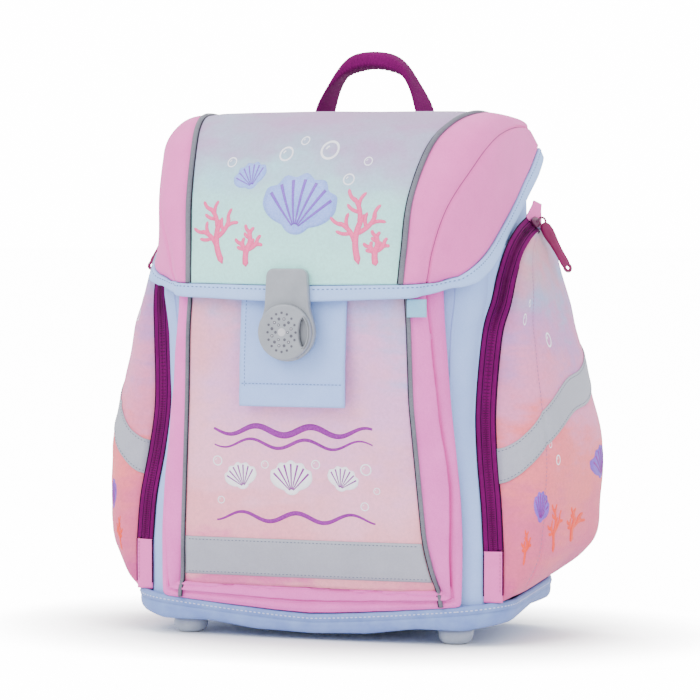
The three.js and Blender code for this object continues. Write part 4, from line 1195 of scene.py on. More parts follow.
def plate_outline():
    """(x, z) points round the plate: a round lower end, a waist and a squared top."""
    neck, corner = LATCH_HALF * 0.74, 6.0
    shoulder = LATCH_CENTRE + LATCH_HALF * 0.95
    right = []
    for a in spread(-math.pi / 2, 0, 24):
        right.append((LATCH_HALF * math.cos(a), LATCH_CENTRE + LATCH_HALF * math.sin(a)))
    for t in spread(0, 1, 14)[1:]:
        right.append((lerp(LATCH_HALF, neck + 1.2, ease(t) ** 1.1), LATCH_CENTRE + t * LATCH_HALF * 0.95))
    for t in spread(0, 1, 8)[1:]:
        right.append((lerp(neck + 1.2, neck, t), lerp(shoulder, LATCH_TOP - corner, t)))
    for a in spread(0, math.pi / 2, 10)[1:]:
        right.append((neck - corner + corner * math.cos(a), LATCH_TOP - corner + corner * math.sin(a)))
    left = [(-x, z) for x, z in reversed(right)]
    return right + left[1:-1]


def standing_rings(outline, centre, back_y, front_y):
    """Rings of a plate that stands in X and Z, with a rounded front edge."""
    steps = [(back_y, 0.6), (back_y - 0.5, 0.0), (front_y + ROUND_OVER, 0.0)]
    for a in spread(0, math.pi / 2, 5)[1:]:
        steps.append((front_y + ROUND_OVER * (1 - math.sin(a)), ROUND_OVER * (1 - math.cos(a))))
    steps += [(front_y, ROUND_OVER + 1.5), (front_y, ROUND_OVER + 3)]
    rings = []
    for y, inset in steps:
        ring = []
        for x, z in outline:
            d = math.hypot(x - centre[0], z - centre[1])
            k = 1 - inset / max(d, 1e-6)
            ring.append(Vector((centre[0] + (x - centre[0]) * k, y, centre[1] + (z - centre[1]) * k)))
        rings.append(ring)
    return rings


plate_rings = standing_rings(plate_outline(), (0.0, 250.0), LATCH_BACK, LATCH_BACK - PLATE_DEPTH)
finish_mesh("latch plate", rings_bm(plate_rings), latch_plastic, nodes=["latch_plate"], slot="latch_plastic")


# %% [markdown]
# The disc is made between two outlines, its rim and the finger slot, so the slot goes right through.

# %% Latch disc
def disc_mesh():
    """A disc with a rounded rim and a through slot, as rings that run from its rear round to its rear."""
    front, rear = DISC_FRONT, DISC_REAR
    slot_x, slot_half, slot_rise = LATCH_HALF * 0.7, 3.9, 11.0
    steps = angles(96)

    def rim(a, inset):
        r = LATCH_HALF - 1 - inset
        return math.cos(a) * r, math.sin(a) * r

    def slot(a, grow):
        x, z = rim(a, 2.1)
        b = math.atan2(z / slot_rise, (x - slot_x) / slot_half)
        return slot_x + math.cos(b) * (slot_half + grow), math.sin(b) * (slot_rise + grow)

    rim_rows = [
        (rear, 0.0), (front + 1.6, 0.0), (front + 0.8, 0.25), (front + 0.3, 0.7), (front, 1.5), (front + 0.05, 2.1)
    ]
    slot_rows = [(front + 0.02, 1.3), (front + 0.25, 0.6), (front + 0.9, 0.15), (front + 2, 0.0), (rear, 0.0)]
    rings = []
    for edge, rows in ((rim, rim_rows), (slot, slot_rows)):
        for y, amount in rows:
            rings.append([Vector((x, y, LATCH_CENTRE + z)) for x, z in (edge(a, amount) for a in steps)])
    return rings_bm(rings, closed=True)


finish_mesh("latch disc", disc_mesh(), latch_plastic, nodes=["latch_disc"], slot="latch_plastic")


DOME_PROFILE = ((1.0, 0.0), (0.95, 0.55), (0.75, 0.95), (0.5, 1.0), (0.25, 1.0))
DOT_X = -1.6
DOT_RINGS = ((6, 5.6, 1.15), (12, 9.2, 1.25), (16, 13.0, 1.0))


def dome_bm(x, z, lift, radius, height, sides):
    """A small raised dot on the front of the disc."""
    rings = []
    for share, rise in DOME_PROFILE:
        r, y = share * radius, DISC_FRONT + lift - rise * height
        rings.append([Vector((x + math.cos(a) * r, y, z + math.sin(a) * r)) for a in angles(sides)])
    return rings_bm(rings)


# The hollows are low domes in a darker grey; that darker grey is painted shade of the hollows
dots, holes = bmesh.new(), bmesh.new()
join_bm(dots, dome_bm(DOT_X, LATCH_CENTRE, 0.1, 3.2, 0.5, 24))
for ring, (count, radius, size) in enumerate(DOT_RINGS):
    for k in range(count):
        a = 2 * math.pi * (k + 0.5 * (ring % 2)) / count
        x, z = DOT_X + math.cos(a) * radius * 0.86, LATCH_CENTRE + math.sin(a) * radius * 1.12
        if x > 9.9 or math.hypot(x, z - LATCH_CENTRE) > LATCH_HALF - 4.5:
            continue
        join_bm(holes, dome_bm(x, z, 0.06, size, 0.16, 12))
        if k % 2 == 0 and ring < 2:
            join_bm(dots, dome_bm(x, z, 0.08, size * 0.5, 0.34, 10))
finish_mesh("latch dots", dots, latch_ring)
finish_mesh("latch dot hollows painted shade", holes, latch_hollow_shade)

# %% [markdown]
# A small loop of woven ribbon looks out beside the right piping, just under the lid.

# %% Side tab
TAB_TOP, TAB_FOOT, TAB_HALF = 262.3, 249.0, 7.3
half_at_tab, face_at_tab, _ = pocket_row(255)
turn = Vector((1, 0.45, 0)).normalized()
out = Vector((0.41, -0.91, 0))
rings = []
for z in spread(TAB_TOP, TAB_FOOT, 14):
    centre = Vector((half_at_tab + 8, face_at_tab - 2.4, z))
    fat = 0.55 + 0.25 * math.sin(math.pi * (TAB_TOP - z) / (TAB_TOP - TAB_FOOT))
    front = [centre + turn * t * TAB_HALF + out * fat for t in spread(-1, 1, 10)]
    rings.append(front + [centre + turn * t * TAB_HALF - out * fat for t in spread(1, -1, 10)])
finish_mesh("side tab", rings_bm(rings), tab_cloth, nodes=["side_tab"], slot="tab_cloth")

# %% [markdown]
# Each side pocket opens by a zipper along its front edge. The tape follows a table line that runs up
# the corner of the body and turns back near the top.

# %% Zipper line
SIDE_BACK = 118.0
ZIP_ROWS = named("x y z turn", [
    (1.070, -0.186, 0.180, 12), (1.052, -0.170, 0.264, 12), (1.012, -0.119, 0.360, 12), (0.994, -0.076, 0.450, 12),
    (1.018, -0.030, 0.580, 14), (1.052, 0.040, 0.641, 22), (1.068, 0.098, 0.688, 32), (1.088, 0.190, 0.735, 42),
    (1.100, 0.350, 0.767, 50), (1.100, 0.560, 0.786, 52)])
ZIP_COLUMNS = by_column(ZIP_ROWS)
ZIP_LAST = len(ZIP_ROWS) - 1
TAPE_WIDTH, TAPE_WALL = 15.0, 1.6


def zip_point(side, at):
    x, y, z = (smooth(ZIP_COLUMNS[k], at) for k in "xyz")
    return Vector((side * x * BODY_HALF, y * SIDE_BACK, z * LID_TOP))


def zip_frame(side, at):
    """(centre, along, across the tape outwards, out of its face) of the zipper."""
    along = (zip_point(side, at + 0.05) - zip_point(side, at - 0.05)).normalized()
    turn = math.radians(smooth(ZIP_COLUMNS["turn"], at))
    behind = along.cross(Vector((1, 0, 0))).normalized()
    wide = Vector((side * math.cos(turn), 0, 0)) + behind * math.sin(turn)
    wide = (wide - along * wide.dot(along)).normalized()
    out = wide.cross(along).normalized() * side
    if out.y > 0.3:
        out.negate()
    return zip_point(side, at), along, wide, out


# %% [markdown]
# The tape shows two woven halves with a seam each and, between them, the coil: two rows of small
# ribs. The ribs are real geometry, a short bar for each tooth.

# %% Zippers
TAPE_PROFILE = [
    (-7.5, -0.5), (-7.3, 0.35), (-5.6, 0.75), (-5.0, 0.3), (-3.4, 0.3), (-2.7, 0.75), (-1.9, 0.95), (-0.5, 0.85),
    (0.0, 0.3), (0.5, 0.85), (1.9, 0.95), (2.7, 0.75), (3.4, 0.3), (5.0, 0.3), (5.6, 0.75), (7.3, 0.35),
    (7.5, -0.5), (6.5, -0.8), (0, -0.8), (-6.5, -0.8)]
TOOTH = [
    (-1, -0.42, 0), (1, -0.42, 0), (1, 0.42, 0), (-1, 0.42, 0),
    (-0.8, -0.25, 1), (0.8, -0.25, 1), (0.8, 0.25, 1), (-0.8, 0.25, 1)]
TOOTH_FACES = ((0, 1, 5, 4), (1, 2, 6, 5), (2, 3, 7, 6), (3, 0, 4, 7), (4, 5, 6, 7), (3, 2, 1, 0))
TOOTH_PITCH = 1.5
# Where the dark lines run across the tape, and their radius
TAPE_LINES = ((-7.5, 0.5), (-3.6, 0.32), (3.6, 0.32), (7.5, 0.5))

for side, word in SIDES:
    rings = []
    for t in spread(0, ZIP_LAST, 170):
        centre, along, wide, out = zip_frame(side, t)
        rings.append([centre + wide * u + out * h for u, h in TAPE_PROFILE])
    finish_mesh(f"zipper tape {word}", rings_bm(rings), zip_tape, nodes=[f"zipper_tape_{word}"], slot="zip_cloth")
    line = [zip_point(side, t) for t in spread(0.02, ZIP_LAST - 0.02, 300)]
    teeth = bmesh.new()
    run = sum((b - a).length for a, b in zip(line, line[1:]))
    count = int(run / TOOTH_PITCH)
    for k in range(count):
        t = lerp(0.02, ZIP_LAST - 0.02, (k + 0.5) / count)
        centre, along, wide, out = zip_frame(side, t)
        for half in (-1, 1):
            middle = centre + wide * half * 1.35 + out * 0.8
            corners = [middle + wide * u * 1.15 + along * v * 0.9 + out * w * 0.45 for u, v, w in TOOTH]
            verts = [teeth.verts.new(metres(p)) for p in corners]
            for quad in TOOTH_FACES:
                teeth.faces.new([verts[q] for q in quad])
    bmesh.ops.recalc_face_normals(teeth, faces=teeth.faces)
    finish_mesh(f"zipper coil {word}", teeth, zip_coil)
    lines = bmesh.new()
    for edge, radius in TAPE_LINES:
        border = []
        for t in spread(0, ZIP_LAST, 120):
            centre, along, wide, out = zip_frame(side, t)
            border.append(centre + wide * edge + out * 0.3)
        if abs(edge) > 7:
            centre, along, wide, out = zip_frame(side, 0)
            foot = centre + wide * edge * 0.97 + out * 0.9
            border = [foot + Vector((0, 0, d)) for d in spread(-34, -1, 12)] + border
        join_bm(lines, tube_bm(border, radius, 6))
    finish_mesh(f"zipper lines {word}", lines, dark_purple)
    print("zipper", word, count, "teeth a side")

# %% [markdown]
# Pink tabs close the zipper at its foot and its upper end. They are folded strips with a sewn edge.

# %% Zipper tabs


def flat_band(name, stations, material, **where):
    """A band through (centre, width direction, width, thickness) with rounded edges."""
    rings = []
    centres = [s[0] for s in stations]
    for i, (c, w, width, wall) in enumerate(stations):
        along = (centres[min(i + 1, len(centres) - 1)] - centres[max(i - 1, 0)]).normalized()
        wide = (w - along * w.dot(along)).normalized()
        out = along.cross(wide).normalized()
        ring = []
        r = wall / 2
        straight_half = width / 2 - r
        for t in spread(-1, 1, 8):
            ring.append(c + wide * straight_half * t - out * r)
        for a in spread(-math.pi / 2, math.pi / 2, 6)[1:-1]:
            ring.append(c + wide * (straight_half + math.cos(a) * r) + out * math.sin(a) * r)
        for t in spread(1, -1, 8):
            ring.append(c + wide * straight_half * t + out * r)
        for a in spread(math.pi / 2, 3 * math.pi / 2, 6)[1:-1]:
            ring.append(c + wide * (-straight_half + math.cos(a) * r) + out * math.sin(a) * r)
        rings.append(ring)
    return finish_mesh(name, rings_bm(rings), material, **where)


for side, word in SIDES:
    centre, along, wide, out = zip_frame(side, 0)
    stations = []
    for drop in spread(-0.6, -39.2, 20):
        bulge = 1 + 0.35 * math.sin(math.pi * clamp(-drop / 39))
        stations.append((centre + Vector((0, 0, drop)) + out * 0.2, wide, TAPE_WIDTH - 0.5, 1.7 * bulge))
    flat_band(f"zipper foot tab {word}", stations, pink_cloth, nodes=[f"zipper_foot_tab_{word}"], slot="pink_cloth")
    edge = [centre + wide * 5.2 + Vector((0, 0, d)) + out * 1.6 for d in spread(-2, -33, 12)]
    stitches = stitch_bm(edge, forwards, 3.0, 2.0, 0.3, 0.0)
    finish_mesh(f"zipper foot tab stitches {word}", stitches, pink_thread)
    centre, along, wide, out = zip_frame(side, ZIP_LAST)
    stations = []
    for s in spread(1, 21, 14):
        place = centre + along * s * 0.6 + Vector((0, -0.6, 0.62 * s))
        stations.append((place, wide, lerp(TAPE_WIDTH, 8, ease(s / 21)), 2.0))
    flat_band(f"zipper tip {word}", stations, pink_cloth, nodes=[f"zipper_tip_{word}"], slot="pink_cloth")

# %% [markdown]
# Between the front corner of the body and the zipper runs a plain strip of the same blue cloth. It
# closes the side down to the base, so nothing shows behind the side pocket.

# %% Body side strips


def body_corner(side, z, degrees):
    """A point on the front corner of the body at a height; -90 degrees faces the front."""
    waist = straight(WAIST, "height", z / LID_TOP, "half")
    a = math.radians(degrees)
    x = (BODY_HALF - BODY_CORNER + BODY_CORNER * math.cos(a)) * waist
    return Vector((side * x, BODY_FRONT + BODY_CORNER * (1 + math.sin(a)) - 0.6, z))


def tape_edge(side, z):
    """The inner edge of the zipper tape, or of the tab below it, at a height."""
    low_at, high_at = 0.0, float(ZIP_LAST)
    if z <= zip_point(side, 0).z:
        centre, _, wide, out = zip_frame(side, 0)
        centre = Vector((centre.x, centre.y, z))
    else:
        for _ in range(24):
            middle_at = (low_at + high_at) / 2
            if zip_point(side, middle_at).z < z:
                low_at = middle_at
            else:
                high_at = middle_at
        centre, _, wide, out = zip_frame(side, low_at)
    inward = -1 if wide.x * side > 0 else 1
    return centre + wide * (inward * (TAPE_WIDTH / 2 - 1.2)) - out * 1.3


def strip_inside(p):
    return Vector((math.copysign(60, p.x), 60, p.z))


for side, word in SIDES:
    grid = []
    for z in spread(base_rim(120, -20) - 5, LID_TOP * 0.74, 70):
        a, b = body_corner(side, z, -68), tape_edge(side, z)
        sway = 0.5 * ripple(Vector((0, 0, z)), 30, side)
        bow = Vector((side * 0.5, -1.0, 0)) * (1.4 + sway)
        grid.append([a.lerp(b, t) + bow * math.sin(math.pi * t) for t in spread(0, 1, 12)])
    sheet(f"body side strip {word}", grid, strip_inside, 1.5, blue_cloth)

# %% [markdown]
# The side pocket is a full, squarish bag of printed cloth over the body's side. Its surface comes from
# the zipper line in front, a straight seam behind and a table of how far it stands out.

# %% Side pocket surface
SIDE_OUT, SIDE_SQUARE = 197.0, 3.4
SIDE_UP, SIDE_ROUND = 110, 70
SIDE_ROWS = named("zip frontZ backZ out outBack", [
    (-1.0, 0.086, 0.110, 0.775, 0.775), (-0.9, 0.110, 0.130, 0.850, 0.840), (-0.6, 0.150, 0.162, 0.893, 0.950),
    (0.0, 0.186, 0.198, 0.912, 1.012), (1.0, 0.266, 0.276, 0.930, 1.030), (2.0, 0.362, 0.370, 0.934, 1.030),
    (3.0, 0.450, 0.464, 0.905, 0.985), (4.0, 0.578, 0.602, 0.860, 0.895), (5.0, 0.641, 0.660, 0.838, 0.850),
    (6.0, 0.688, 0.700, 0.820, 0.820), (7.0, 0.735, 0.735, 0.803, 0.790), (8.0, 0.767, 0.762, 0.785, 0.760),
    (8.97, 0.786, 0.782, 0.772, 0.740)])
SIDE_COLUMNS = by_column(SIDE_ROWS)
SIDE_LAST = len(SIDE_ROWS) - 1


def side_line(side, row):
    at = {key: smooth(values, row) for key, values in SIDE_COLUMNS.items()}
    centre, _, wide, _ = zip_frame(side, max(at["zip"], 0.0))
    front = centre + wide * (TAPE_WIDTH / 2 - 1.5)
    if at["zip"] < 0.001:
        front.z = at["frontZ"] * LID_TOP
    rear = Vector((side * (BODY_HALF * 0.895 + 0.9), SIDE_BACK, at["backZ"] * LID_TOP))
    return front, rear, at["out"], at["outBack"]


def side_at(line, side, turn):
    """turn runs from 0 at the zipper to 1 at the rear seam."""
    front, rear, out, out_back = line
    power = 2 / SIDE_SQUARE
    c, s = math.cos(math.pi * turn), math.sin(math.pi * turn)
    u = 0.5 - 0.5 * math.copysign(abs(c) ** power, c)
    v = max(s, 0.0) ** power
    p = front.lerp(rear, u)
    p.x = lerp(p.x, side * lerp(out, out_back, u) * SIDE_OUT, v)
    return p


def side_inside(p):
    return Vector((math.copysign(BODY_HALF * 0.6, p.x), 50, clamp(p.z, 90, 260)))


def side_normal(p):
    return (p - side_inside(p)).normalized()


def side_wave(side):
    def height(i, j, p):
        t = j / SIDE_ROUND
        seam = math.exp(-(((t - 0.26) / 0.008) ** 2))
        field = edge_puff(t, 0.05) * edge_puff(i / SIDE_UP, 0.04)
        sag = ripple(Vector((p.x, p.y * 0.6, p.z * 1.2)), 34, 2.0 + side)
        pull = ripple(Vector((p.x, p.y, p.z * 0.5)), 13, 6.0) * math.exp(-t / 0.12)
        return field * (0.4 + 1.5 * sag + 0.9 * pull) - 0.9 * seam - 0.3

    return height


side_grids = {}
for side, word in SIDES:
    grid = []
    for row in spread(0, SIDE_LAST, SIDE_UP):
        line = side_line(side, row)
        grid.append([side_at(line, side, t) for t in spread(0, 1, SIDE_ROUND)])
    grid = raised(grid, side_inside, side_wave(side))
    side_grids[side] = grid
    pocket = sheet(
        f"side pocket {word}", grid, side_inside, 2.2, side_print,
        nodes=[f"side_pocket_{word}"], slot="side_print",
    )
    seam_line = [line[18] for line in grid[6:-4]]
    stitches = stitch_bm(seam_line, side_normal, 3.2, 2.1, 0.26, 0.2)
    finish_mesh(f"side pocket seam {word}", stitches, thread(f"seam thread {word}", "C9A9C6"))
    print("side pocket", word, len(pocket.data.polygons), "faces")

# %% [markdown]
# The reflective stripe of each side pocket climbs from the zipper towards the back in a soft S.

# %% Side stripes
SIDE_STRIPE = named("turn at z", [
    (0.00, 0, 0.335), (0.12, 1, 0.365), (0.25, 2, 0.405), (0.50, 3, 0.470), (0.75, 4, 0.530), (1.00, 5, 0.560)])
STRIPE_Z = by_column(SIDE_STRIPE)["z"]
STRIPE_HEIGHT = 26.0


def on_side(side, turn, z, lift):
    """A point on the finished side pocket at a turn and a height, lifted outwards."""
    grid = side_grids[side]
    j = min(int(turn * SIDE_ROUND), SIDE_ROUND - 1)
    t = turn * SIDE_ROUND - j
    column = [line[j].lerp(line[j + 1], t) for line in grid]
    i = 0
    while i < len(column) - 2 and column[i + 1].z < z:
        i += 1
    s = clamp((z - column[i].z) / max(column[i + 1].z - column[i].z, 1e-6))
    p = column[i].lerp(column[i + 1], s)
    along = grid[i][min(j + 2, SIDE_ROUND)] - grid[i][max(j - 1, 0)]
    up = grid[i + 1][j] - grid[i][j]
    out = along.cross(up).normalized()
    if out.dot(p - side_inside(p)) < 0:
        out.negate()
    return p + out * lift, out


for side, word in SIDES:
    turns = spread(0.004, 0.95, 80)
    middle = [LID_TOP * smooth(STRIPE_Z, straight(SIDE_STRIPE, "turn", t, "at")) for t in turns]
    grid = []
    for t, m in zip(turns, middle):
        grid.append([on_side(side, t, m + s * STRIPE_HEIGHT, 0.95)[0] for s in spread(-0.5, 0.5, 12)])
    sheet(
        f"side stripe {word}", grid, side_inside, 0.7, reflective,
        nodes=[f"side_stripe_{word}"], slot="reflective_cloth",
    )
    stitches = bmesh.new()
    for s in (-0.42, 0.42):
        spots = [on_side(side, t, m + s * STRIPE_HEIGHT, 1.0) for t, m in zip(turns, middle)]
        points, normals = zip(*spots)
        join_bm(stitches, stitch_bm(points, nearest_normal(points, normals), 3.0, 1.7, 0.34, 0.0))
    finish_mesh(f"side stripe stitches {word}", stitches, dark_thread)

# %% [markdown]
# The print carries simple sea motifs: fan shells with ribs, coral branches, waves and bubbles. Each is
# a thin patch that follows the cloth, so it bends with the panel below it.

# %% Helpers for printed motifs


MOTIF_LIFT = 0.16


def motif_patch(outline, centre, place):
    """A thin patch inside an outline of (x, z) points, all of it in sight of the centre."""
    cx, cz = centre
    rings = [[place(x, z, -0.25) for x, z in outline]]
    for share in (1.0, 0.75, 0.5, 0.25, 0.06):
        rings.append([place(cx + (x - cx) * share, cz + (z - cz) * share, MOTIF_LIFT) for x, z in outline])
    return rings_bm(rings)


def motif_line(points, width, place, lift=MOTIF_LIFT):
    """A thin stroke along (x, z) points; width(share) gives its breadth."""
    last = len(points) - 1
    rings = []
    for i, (x, z) in enumerate(points):
        (ax, az), (bx, bz) = points[max(i - 1, 0)], points[min(i + 1, last)]
        run = math.hypot(bx - ax, bz - az)
        half = width(i / last) / 2
        nx, nz = -(bz - az) / run * half, (bx - ax) / run * half
        profile = ((-1, -0.25), (-1, lift), (0, lift), (1, lift), (1, -0.25))
        rings.append([place(x + nx * k, z + nz * k, h) for k, h in profile])
    return rings_bm(rings)


def fan_shell(x, z, size, lean, place, fill, ribs):
    """Adds a scalloped fan to fill and its ribs to ribs."""
    outline = []
    for a in spread(-math.pi, math.pi, 84)[:-1]:
        scallop = 0.05 * math.cos(a * 13) * (1 - ease((abs(a) - 0.9) / 0.4))
        reach = lerp(1.0, 0.36, ease((abs(a) - 1.05) / 1.1)) + scallop
        outline.append((x + math.sin(a + lean) * reach * size, z + math.cos(a + lean) * reach * size))
    join_bm(fill, motif_patch(outline, (x, z), place))
    foot = (x - math.sin(lean) * 0.24 * size, z - math.cos(lean) * 0.24 * size)
    for a in spread(-0.97, 0.97, 6):
        tip = (x + math.sin(a + lean) * 0.9 * size, z + math.cos(a + lean) * 0.9 * size)
        line = [(lerp(foot[0], tip[0], t), lerp(foot[1], tip[1], t)) for t in spread(0.1, 1, 10)]
        join_bm(ribs, motif_line(line, lambda t: size * lerp(0.03, 0.075, t), place, 0.3))


def coral(x, z, angle, length, width, depth, place, fill):
    """Adds a branch with its twigs; angle 0 points up."""
    sine, cosine = math.sin(angle), math.cos(angle)
    line = []
    for t in spread(0, 1, 10):
        bend = 0.12 * length * math.sin(math.pi * t) * (1 if depth % 2 else -1)
        line.append((x + sine * length * t + cosine * bend, z + cosine * length * t - sine * bend))

    def breadth(t):
        ends = clamp((t - 0.8) / 0.2) ** 2 + clamp((0.1 - t) / 0.1) ** 2
        return width * (1 - 0.2 * t) * math.sqrt(max(1 - ends, 0.02))

    join_bm(fill, motif_line(line, breadth, place, MOTIF_LIFT + 0.05 * depth))
    if depth:
        for at, turn in ((4, -0.75), (6, 0.7), (8, -0.35)):
            coral(*line[at], angle + turn, length * 0.56, width * 0.78, depth - 1, place, fill)


def bubble(x, z, radius, place, fill):
    circle = [(x + math.cos(a) * radius, z + math.sin(a) * radius) for a in spread(0, 2 * math.pi, 28)]
    join_bm(fill, motif_line(circle, lambda t: radius * 0.26, place))
    glint = [(x - math.cos(a) * radius * 0.5, z + math.sin(a) * radius * 0.5) for a in spread(0.2, 1.2, 6)]
    join_bm(fill, motif_line(glint, lambda t: radius * 0.2, place))


def on_lid(x, z, lift):
    """A point on the finished middle panel of the lid, lifted outwards."""
    middle = LID_ACROSS // 2
    i = 0
    while i < LID_UP - 2 and lid_field[i + 1][middle].z < z:
        i += 1
    low, high = lid_field[i], lid_field[i + 1]
    s = clamp((z - low[middle].z) / max(high[middle].z - low[middle].z, 1e-6))
    across = clamp((x / lerp(low[-1].x, high[-1].x, s) + 1) / 2) * LID_ACROSS
    j = int(min(across, LID_ACROSS - 1))
    p = on_grid(lid_field, i + s, across)
    out = (low[j + 1] - low[j]).cross(high[j] - low[j]).normalized()
    if out.dot(p - LID_INSIDE) < 0:
        out.negate()
    return p + out * lift


def sea_motifs(name, place, shells, corals, bubbles, looks):
    """Adds motifs at tables of places, one piece for each kind in looks."""
    fills = {kind: bmesh.new() for kind in looks}
    for x, z, size, lean in shells:
        fan_shell(x, z, size, lean, place, fills["shells"], fills["ribs"])
    for x, z, angle, length, width in corals:
        coral(x, z, angle, length, width, 2, place, fills["corals"])
    for x, z, radius in bubbles:
        bubble(x, z, radius, place, fills["bubbles"])
    for kind, fill in fills.items():
        finish_mesh(name.format(kind), fill, looks[kind])


# %% [markdown]
# The lid and the side pockets carry shells, corals and bubbles. The front pocket carries waves, shells
# and bubbles.

# %% Printed motifs
print_pink = cloth("printed pink", "FF9CC8", "F07CB4", 0.55, 0.05, 1300.0, 0.0001, 0.3)
print_blue = cloth("printed pale blue", "C8DAFF", "A8BEF6", 0.55, 0.05, 1300.0, 0.0001, 0.3)
print_lilac = cloth("printed lilac", "BC98E8", "A07CD8", 0.55, 0.05, 1300.0, 0.0001, 0.3)
print_purple = cloth("printed purple", "C85CCC", "9C3AA8", 0.5, 0.05, 1300.0, 0.0001, 0.2)
print_white = cloth("printed white", "FFFFFF", "F4F4FF", 0.5, 0.0, 1300.0, 0.0001)
print_coral = cloth("printed coral", "FF8A78", "F06C58", 0.55, 0.05, 1300.0, 0.0001, 0.3)

sea_motifs(
    "lid motif {}", on_lid,
    ((3, 322, 33, 0.12), (-38, 350, 15, -0.35)),
    ((-56, 288, -0.12, 34, 5.0), (-36, 286, 0.2, 21, 5.0), (53, 288, 0.06, 38, 5.0), (66, 287, 0.1, 18, 5.0)),
    ((-14, 371, 5), (-2, 381, 3), (20, 374, 6.5), (40, 352, 4), (52, 366, 3), (-58, 366, 3.5)),
    {"shells": print_blue, "ribs": print_lilac, "corals": print_pink, "bubbles": print_white},
)

waves = bmesh.new()
for base, width, shift in ((162, 5.0, 0.0), (152, 2.6, 0.7), (96, 3.4, 2.0)):
    wave = [(x, base + 3.4 * math.sin(x / 7.0 + shift)) for x in spread(-68, 60, 130)]
    join_bm(waves, motif_line(wave, lambda t: width * (0.35 + 0.65 * math.sin(math.pi * t)), on_pocket))
finish_mesh("front motif waves", waves, print_purple)
sea_motifs(
    "front motif {}", on_pocket,
    ((-46, 122, 15, -0.25), (-6, 120, 19, 0.0), (34, 122, 14, 0.3)),
    (),
    ((-66, 138, 3.5), (-27, 136, 2.8), (14, 137, 3.2), (54, 134, 4), (62, 118, 2.4), (-64, 108, 2.6), (52, 106, 3)),
    {"shells": print_white, "ribs": print_purple, "bubbles": print_white},
)

for side, word in SIDES:

    def on_flank(x, z, lift):
        """x is counted in millimetres round the pocket from its zipper."""
        return on_side(side, x / 260, z, lift)[0]

    sea_motifs(
        "side motif {} " + word, on_flank,
        ((58, 100, 17, 0.2), (150, 128, 19, -0.2)),
        ((94, 70, -0.1, 26, 4.4), (122, 76, 0.1, 18, 4.4), (34, 62, 0.1, 18, 4.4)),
        ((40, 246, 4), (52, 258, 2.6), (100, 230, 5), (88, 140, 3.5), (74, 152, 2.4)),
        {"shells": print_lilac, "ribs": print_purple, "corals": print_coral, "bubbles": print_white},
    )
print("motifs done")

# %% [markdown]
# At the back the lid is sewn to the body with a plain strip of cloth.

# %% Lid hinge strip
grid = []
for t in spread(0, 1, 8):
    line = []
    for c in spread(-2.9, 2.9, 60):
        top = lid_point(-1 if c < 0 else 1, LID_LAST - 0.02, abs(c))
        foot_x = clamp(top.x, -BODY_HALF * 0.86, BODY_HALF * 0.86) * 0.97
        start = (top.x * 0.985, top.y - 1.5, top.z - 1.5)
        end = (foot_x, BODY_BACK - 1.5, LID_TOP * 0.945)
        line.append(Vector([lerp(a, b, t) for a, b in zip(start, end)]))
    grid.append(line)


def hinge_inside(p):
    return Vector((0, 40, p.z))


sheet("lid hinge strip", grid, hinge_inside, 1.2, blue_cloth)

# %% [markdown]
# The slider sits at the zipper's upper end. A ring through its bail carries the puller, a moulded tag
# with a waist and a holed end, which hangs over the pocket.

# %% Sliders and pullers
PULLER_LENGTH = 45.0
# Place along the slider, half width and half thickness
SLIDER_ROWS = (
    (-6, 1.6, 0.8), (-5.4, 3.4, 1.5), (-3, 4.3, 2.0), (0, 4.5, 2.1), (3, 4.1, 2.0), (5.4, 2.8, 1.5), (6.1, 1.2, 0.8))
# The same for the tag, as shares of its length
TAG_ROWS = (
    (0.02, 0.04, 0.03), (0.05, 0.07, 0.04), (0.10, 0.095, 0.055), (0.20, 0.105, 0.06), (0.30, 0.098, 0.06),
    (0.42, 0.082, 0.055), (0.56, 0.074, 0.05), (0.70, 0.074, 0.046), (0.80, 0.078, 0.045), (0.87, 0.066, 0.04))


def loft_ellipse(stations, sides=20):
    """Rings of (centre, across, out, half width, half thickness) as soft ovals."""
    rings = []
    for c, w, o, a, b in stations:
        ring = []
        for t in angles(sides):
            x, y = math.cos(t), math.sin(t)
            k = (abs(x) ** 2.6 + abs(y) ** 2.6) ** (-1 / 2.6)
            ring.append(c + w * x * k * a + o * y * k * b)
        rings.append(ring)
    return rings


def oval(centre, along, across, length, width, count):
    """Points of an oval ring round a centre."""
    return [centre + along * math.cos(a) * length + across * math.sin(a) * width for a in angles(count)]


for side, word in SIDES:
    centre, along, wide, out = zip_frame(side, ZIP_LAST)
    if out.z < 0:
        out.negate()
    middle = centre + out * (TAPE_WALL / 2 + 0.3 + 2)
    stations = [(middle + along * s, wide, out, w, h) for s, w, h in SLIDER_ROWS]
    slider = rings_bm(loft_ellipse(stations))
    bail = []
    for t in spread(0, 1, 16):
        bail.append(middle + along * (-3.2 + 6.4 * t) + out * (1.7 + 2.0 * math.sin(math.pi * t)))
    join_bm(slider, tube_bm(bail, 0.75, 8))
    finish_mesh(f"zip slider {word}", slider, slider_paint, nodes=[f"zip_slider_{word}"], slot="slider_metal")
    top = centre + Vector((side * 6.5, 0.5, 3.5))
    hang = Vector((side * 0.5, -0.02, -0.86)).normalized()
    across = hang.cross(Vector((math.sin(AZIMUTH), -math.cos(AZIMUTH), 0))).normalized()
    face = hang.cross(across).normalized()
    stations = []
    for at, width, wall in TAG_ROWS:
        place = top + hang * (2 + at * PULLER_LENGTH)
        stations.append((place, across, face, width * PULLER_LENGTH, wall * PULLER_LENGTH))
    tag = rings_bm(loft_ellipse(stations, 24))
    eye = top + hang * (2 + 0.9 * PULLER_LENGTH)
    join_bm(tag, tube_bm(oval(eye, hang, across, 2.9, 2.1, 28), 1.35, 10, closed=True))
    join_bm(tag, tube_bm(oval(top + hang * 1.2, hang, across, 3.0, 2.6, 20), 0.9, 8, closed=True))
    finish_mesh(
        f"zip puller {word}", tag, puller_plastic,
        body=f"puller_{word}", nodes=[f"zip_puller_{word}"], slot="puller_plastic",
    )

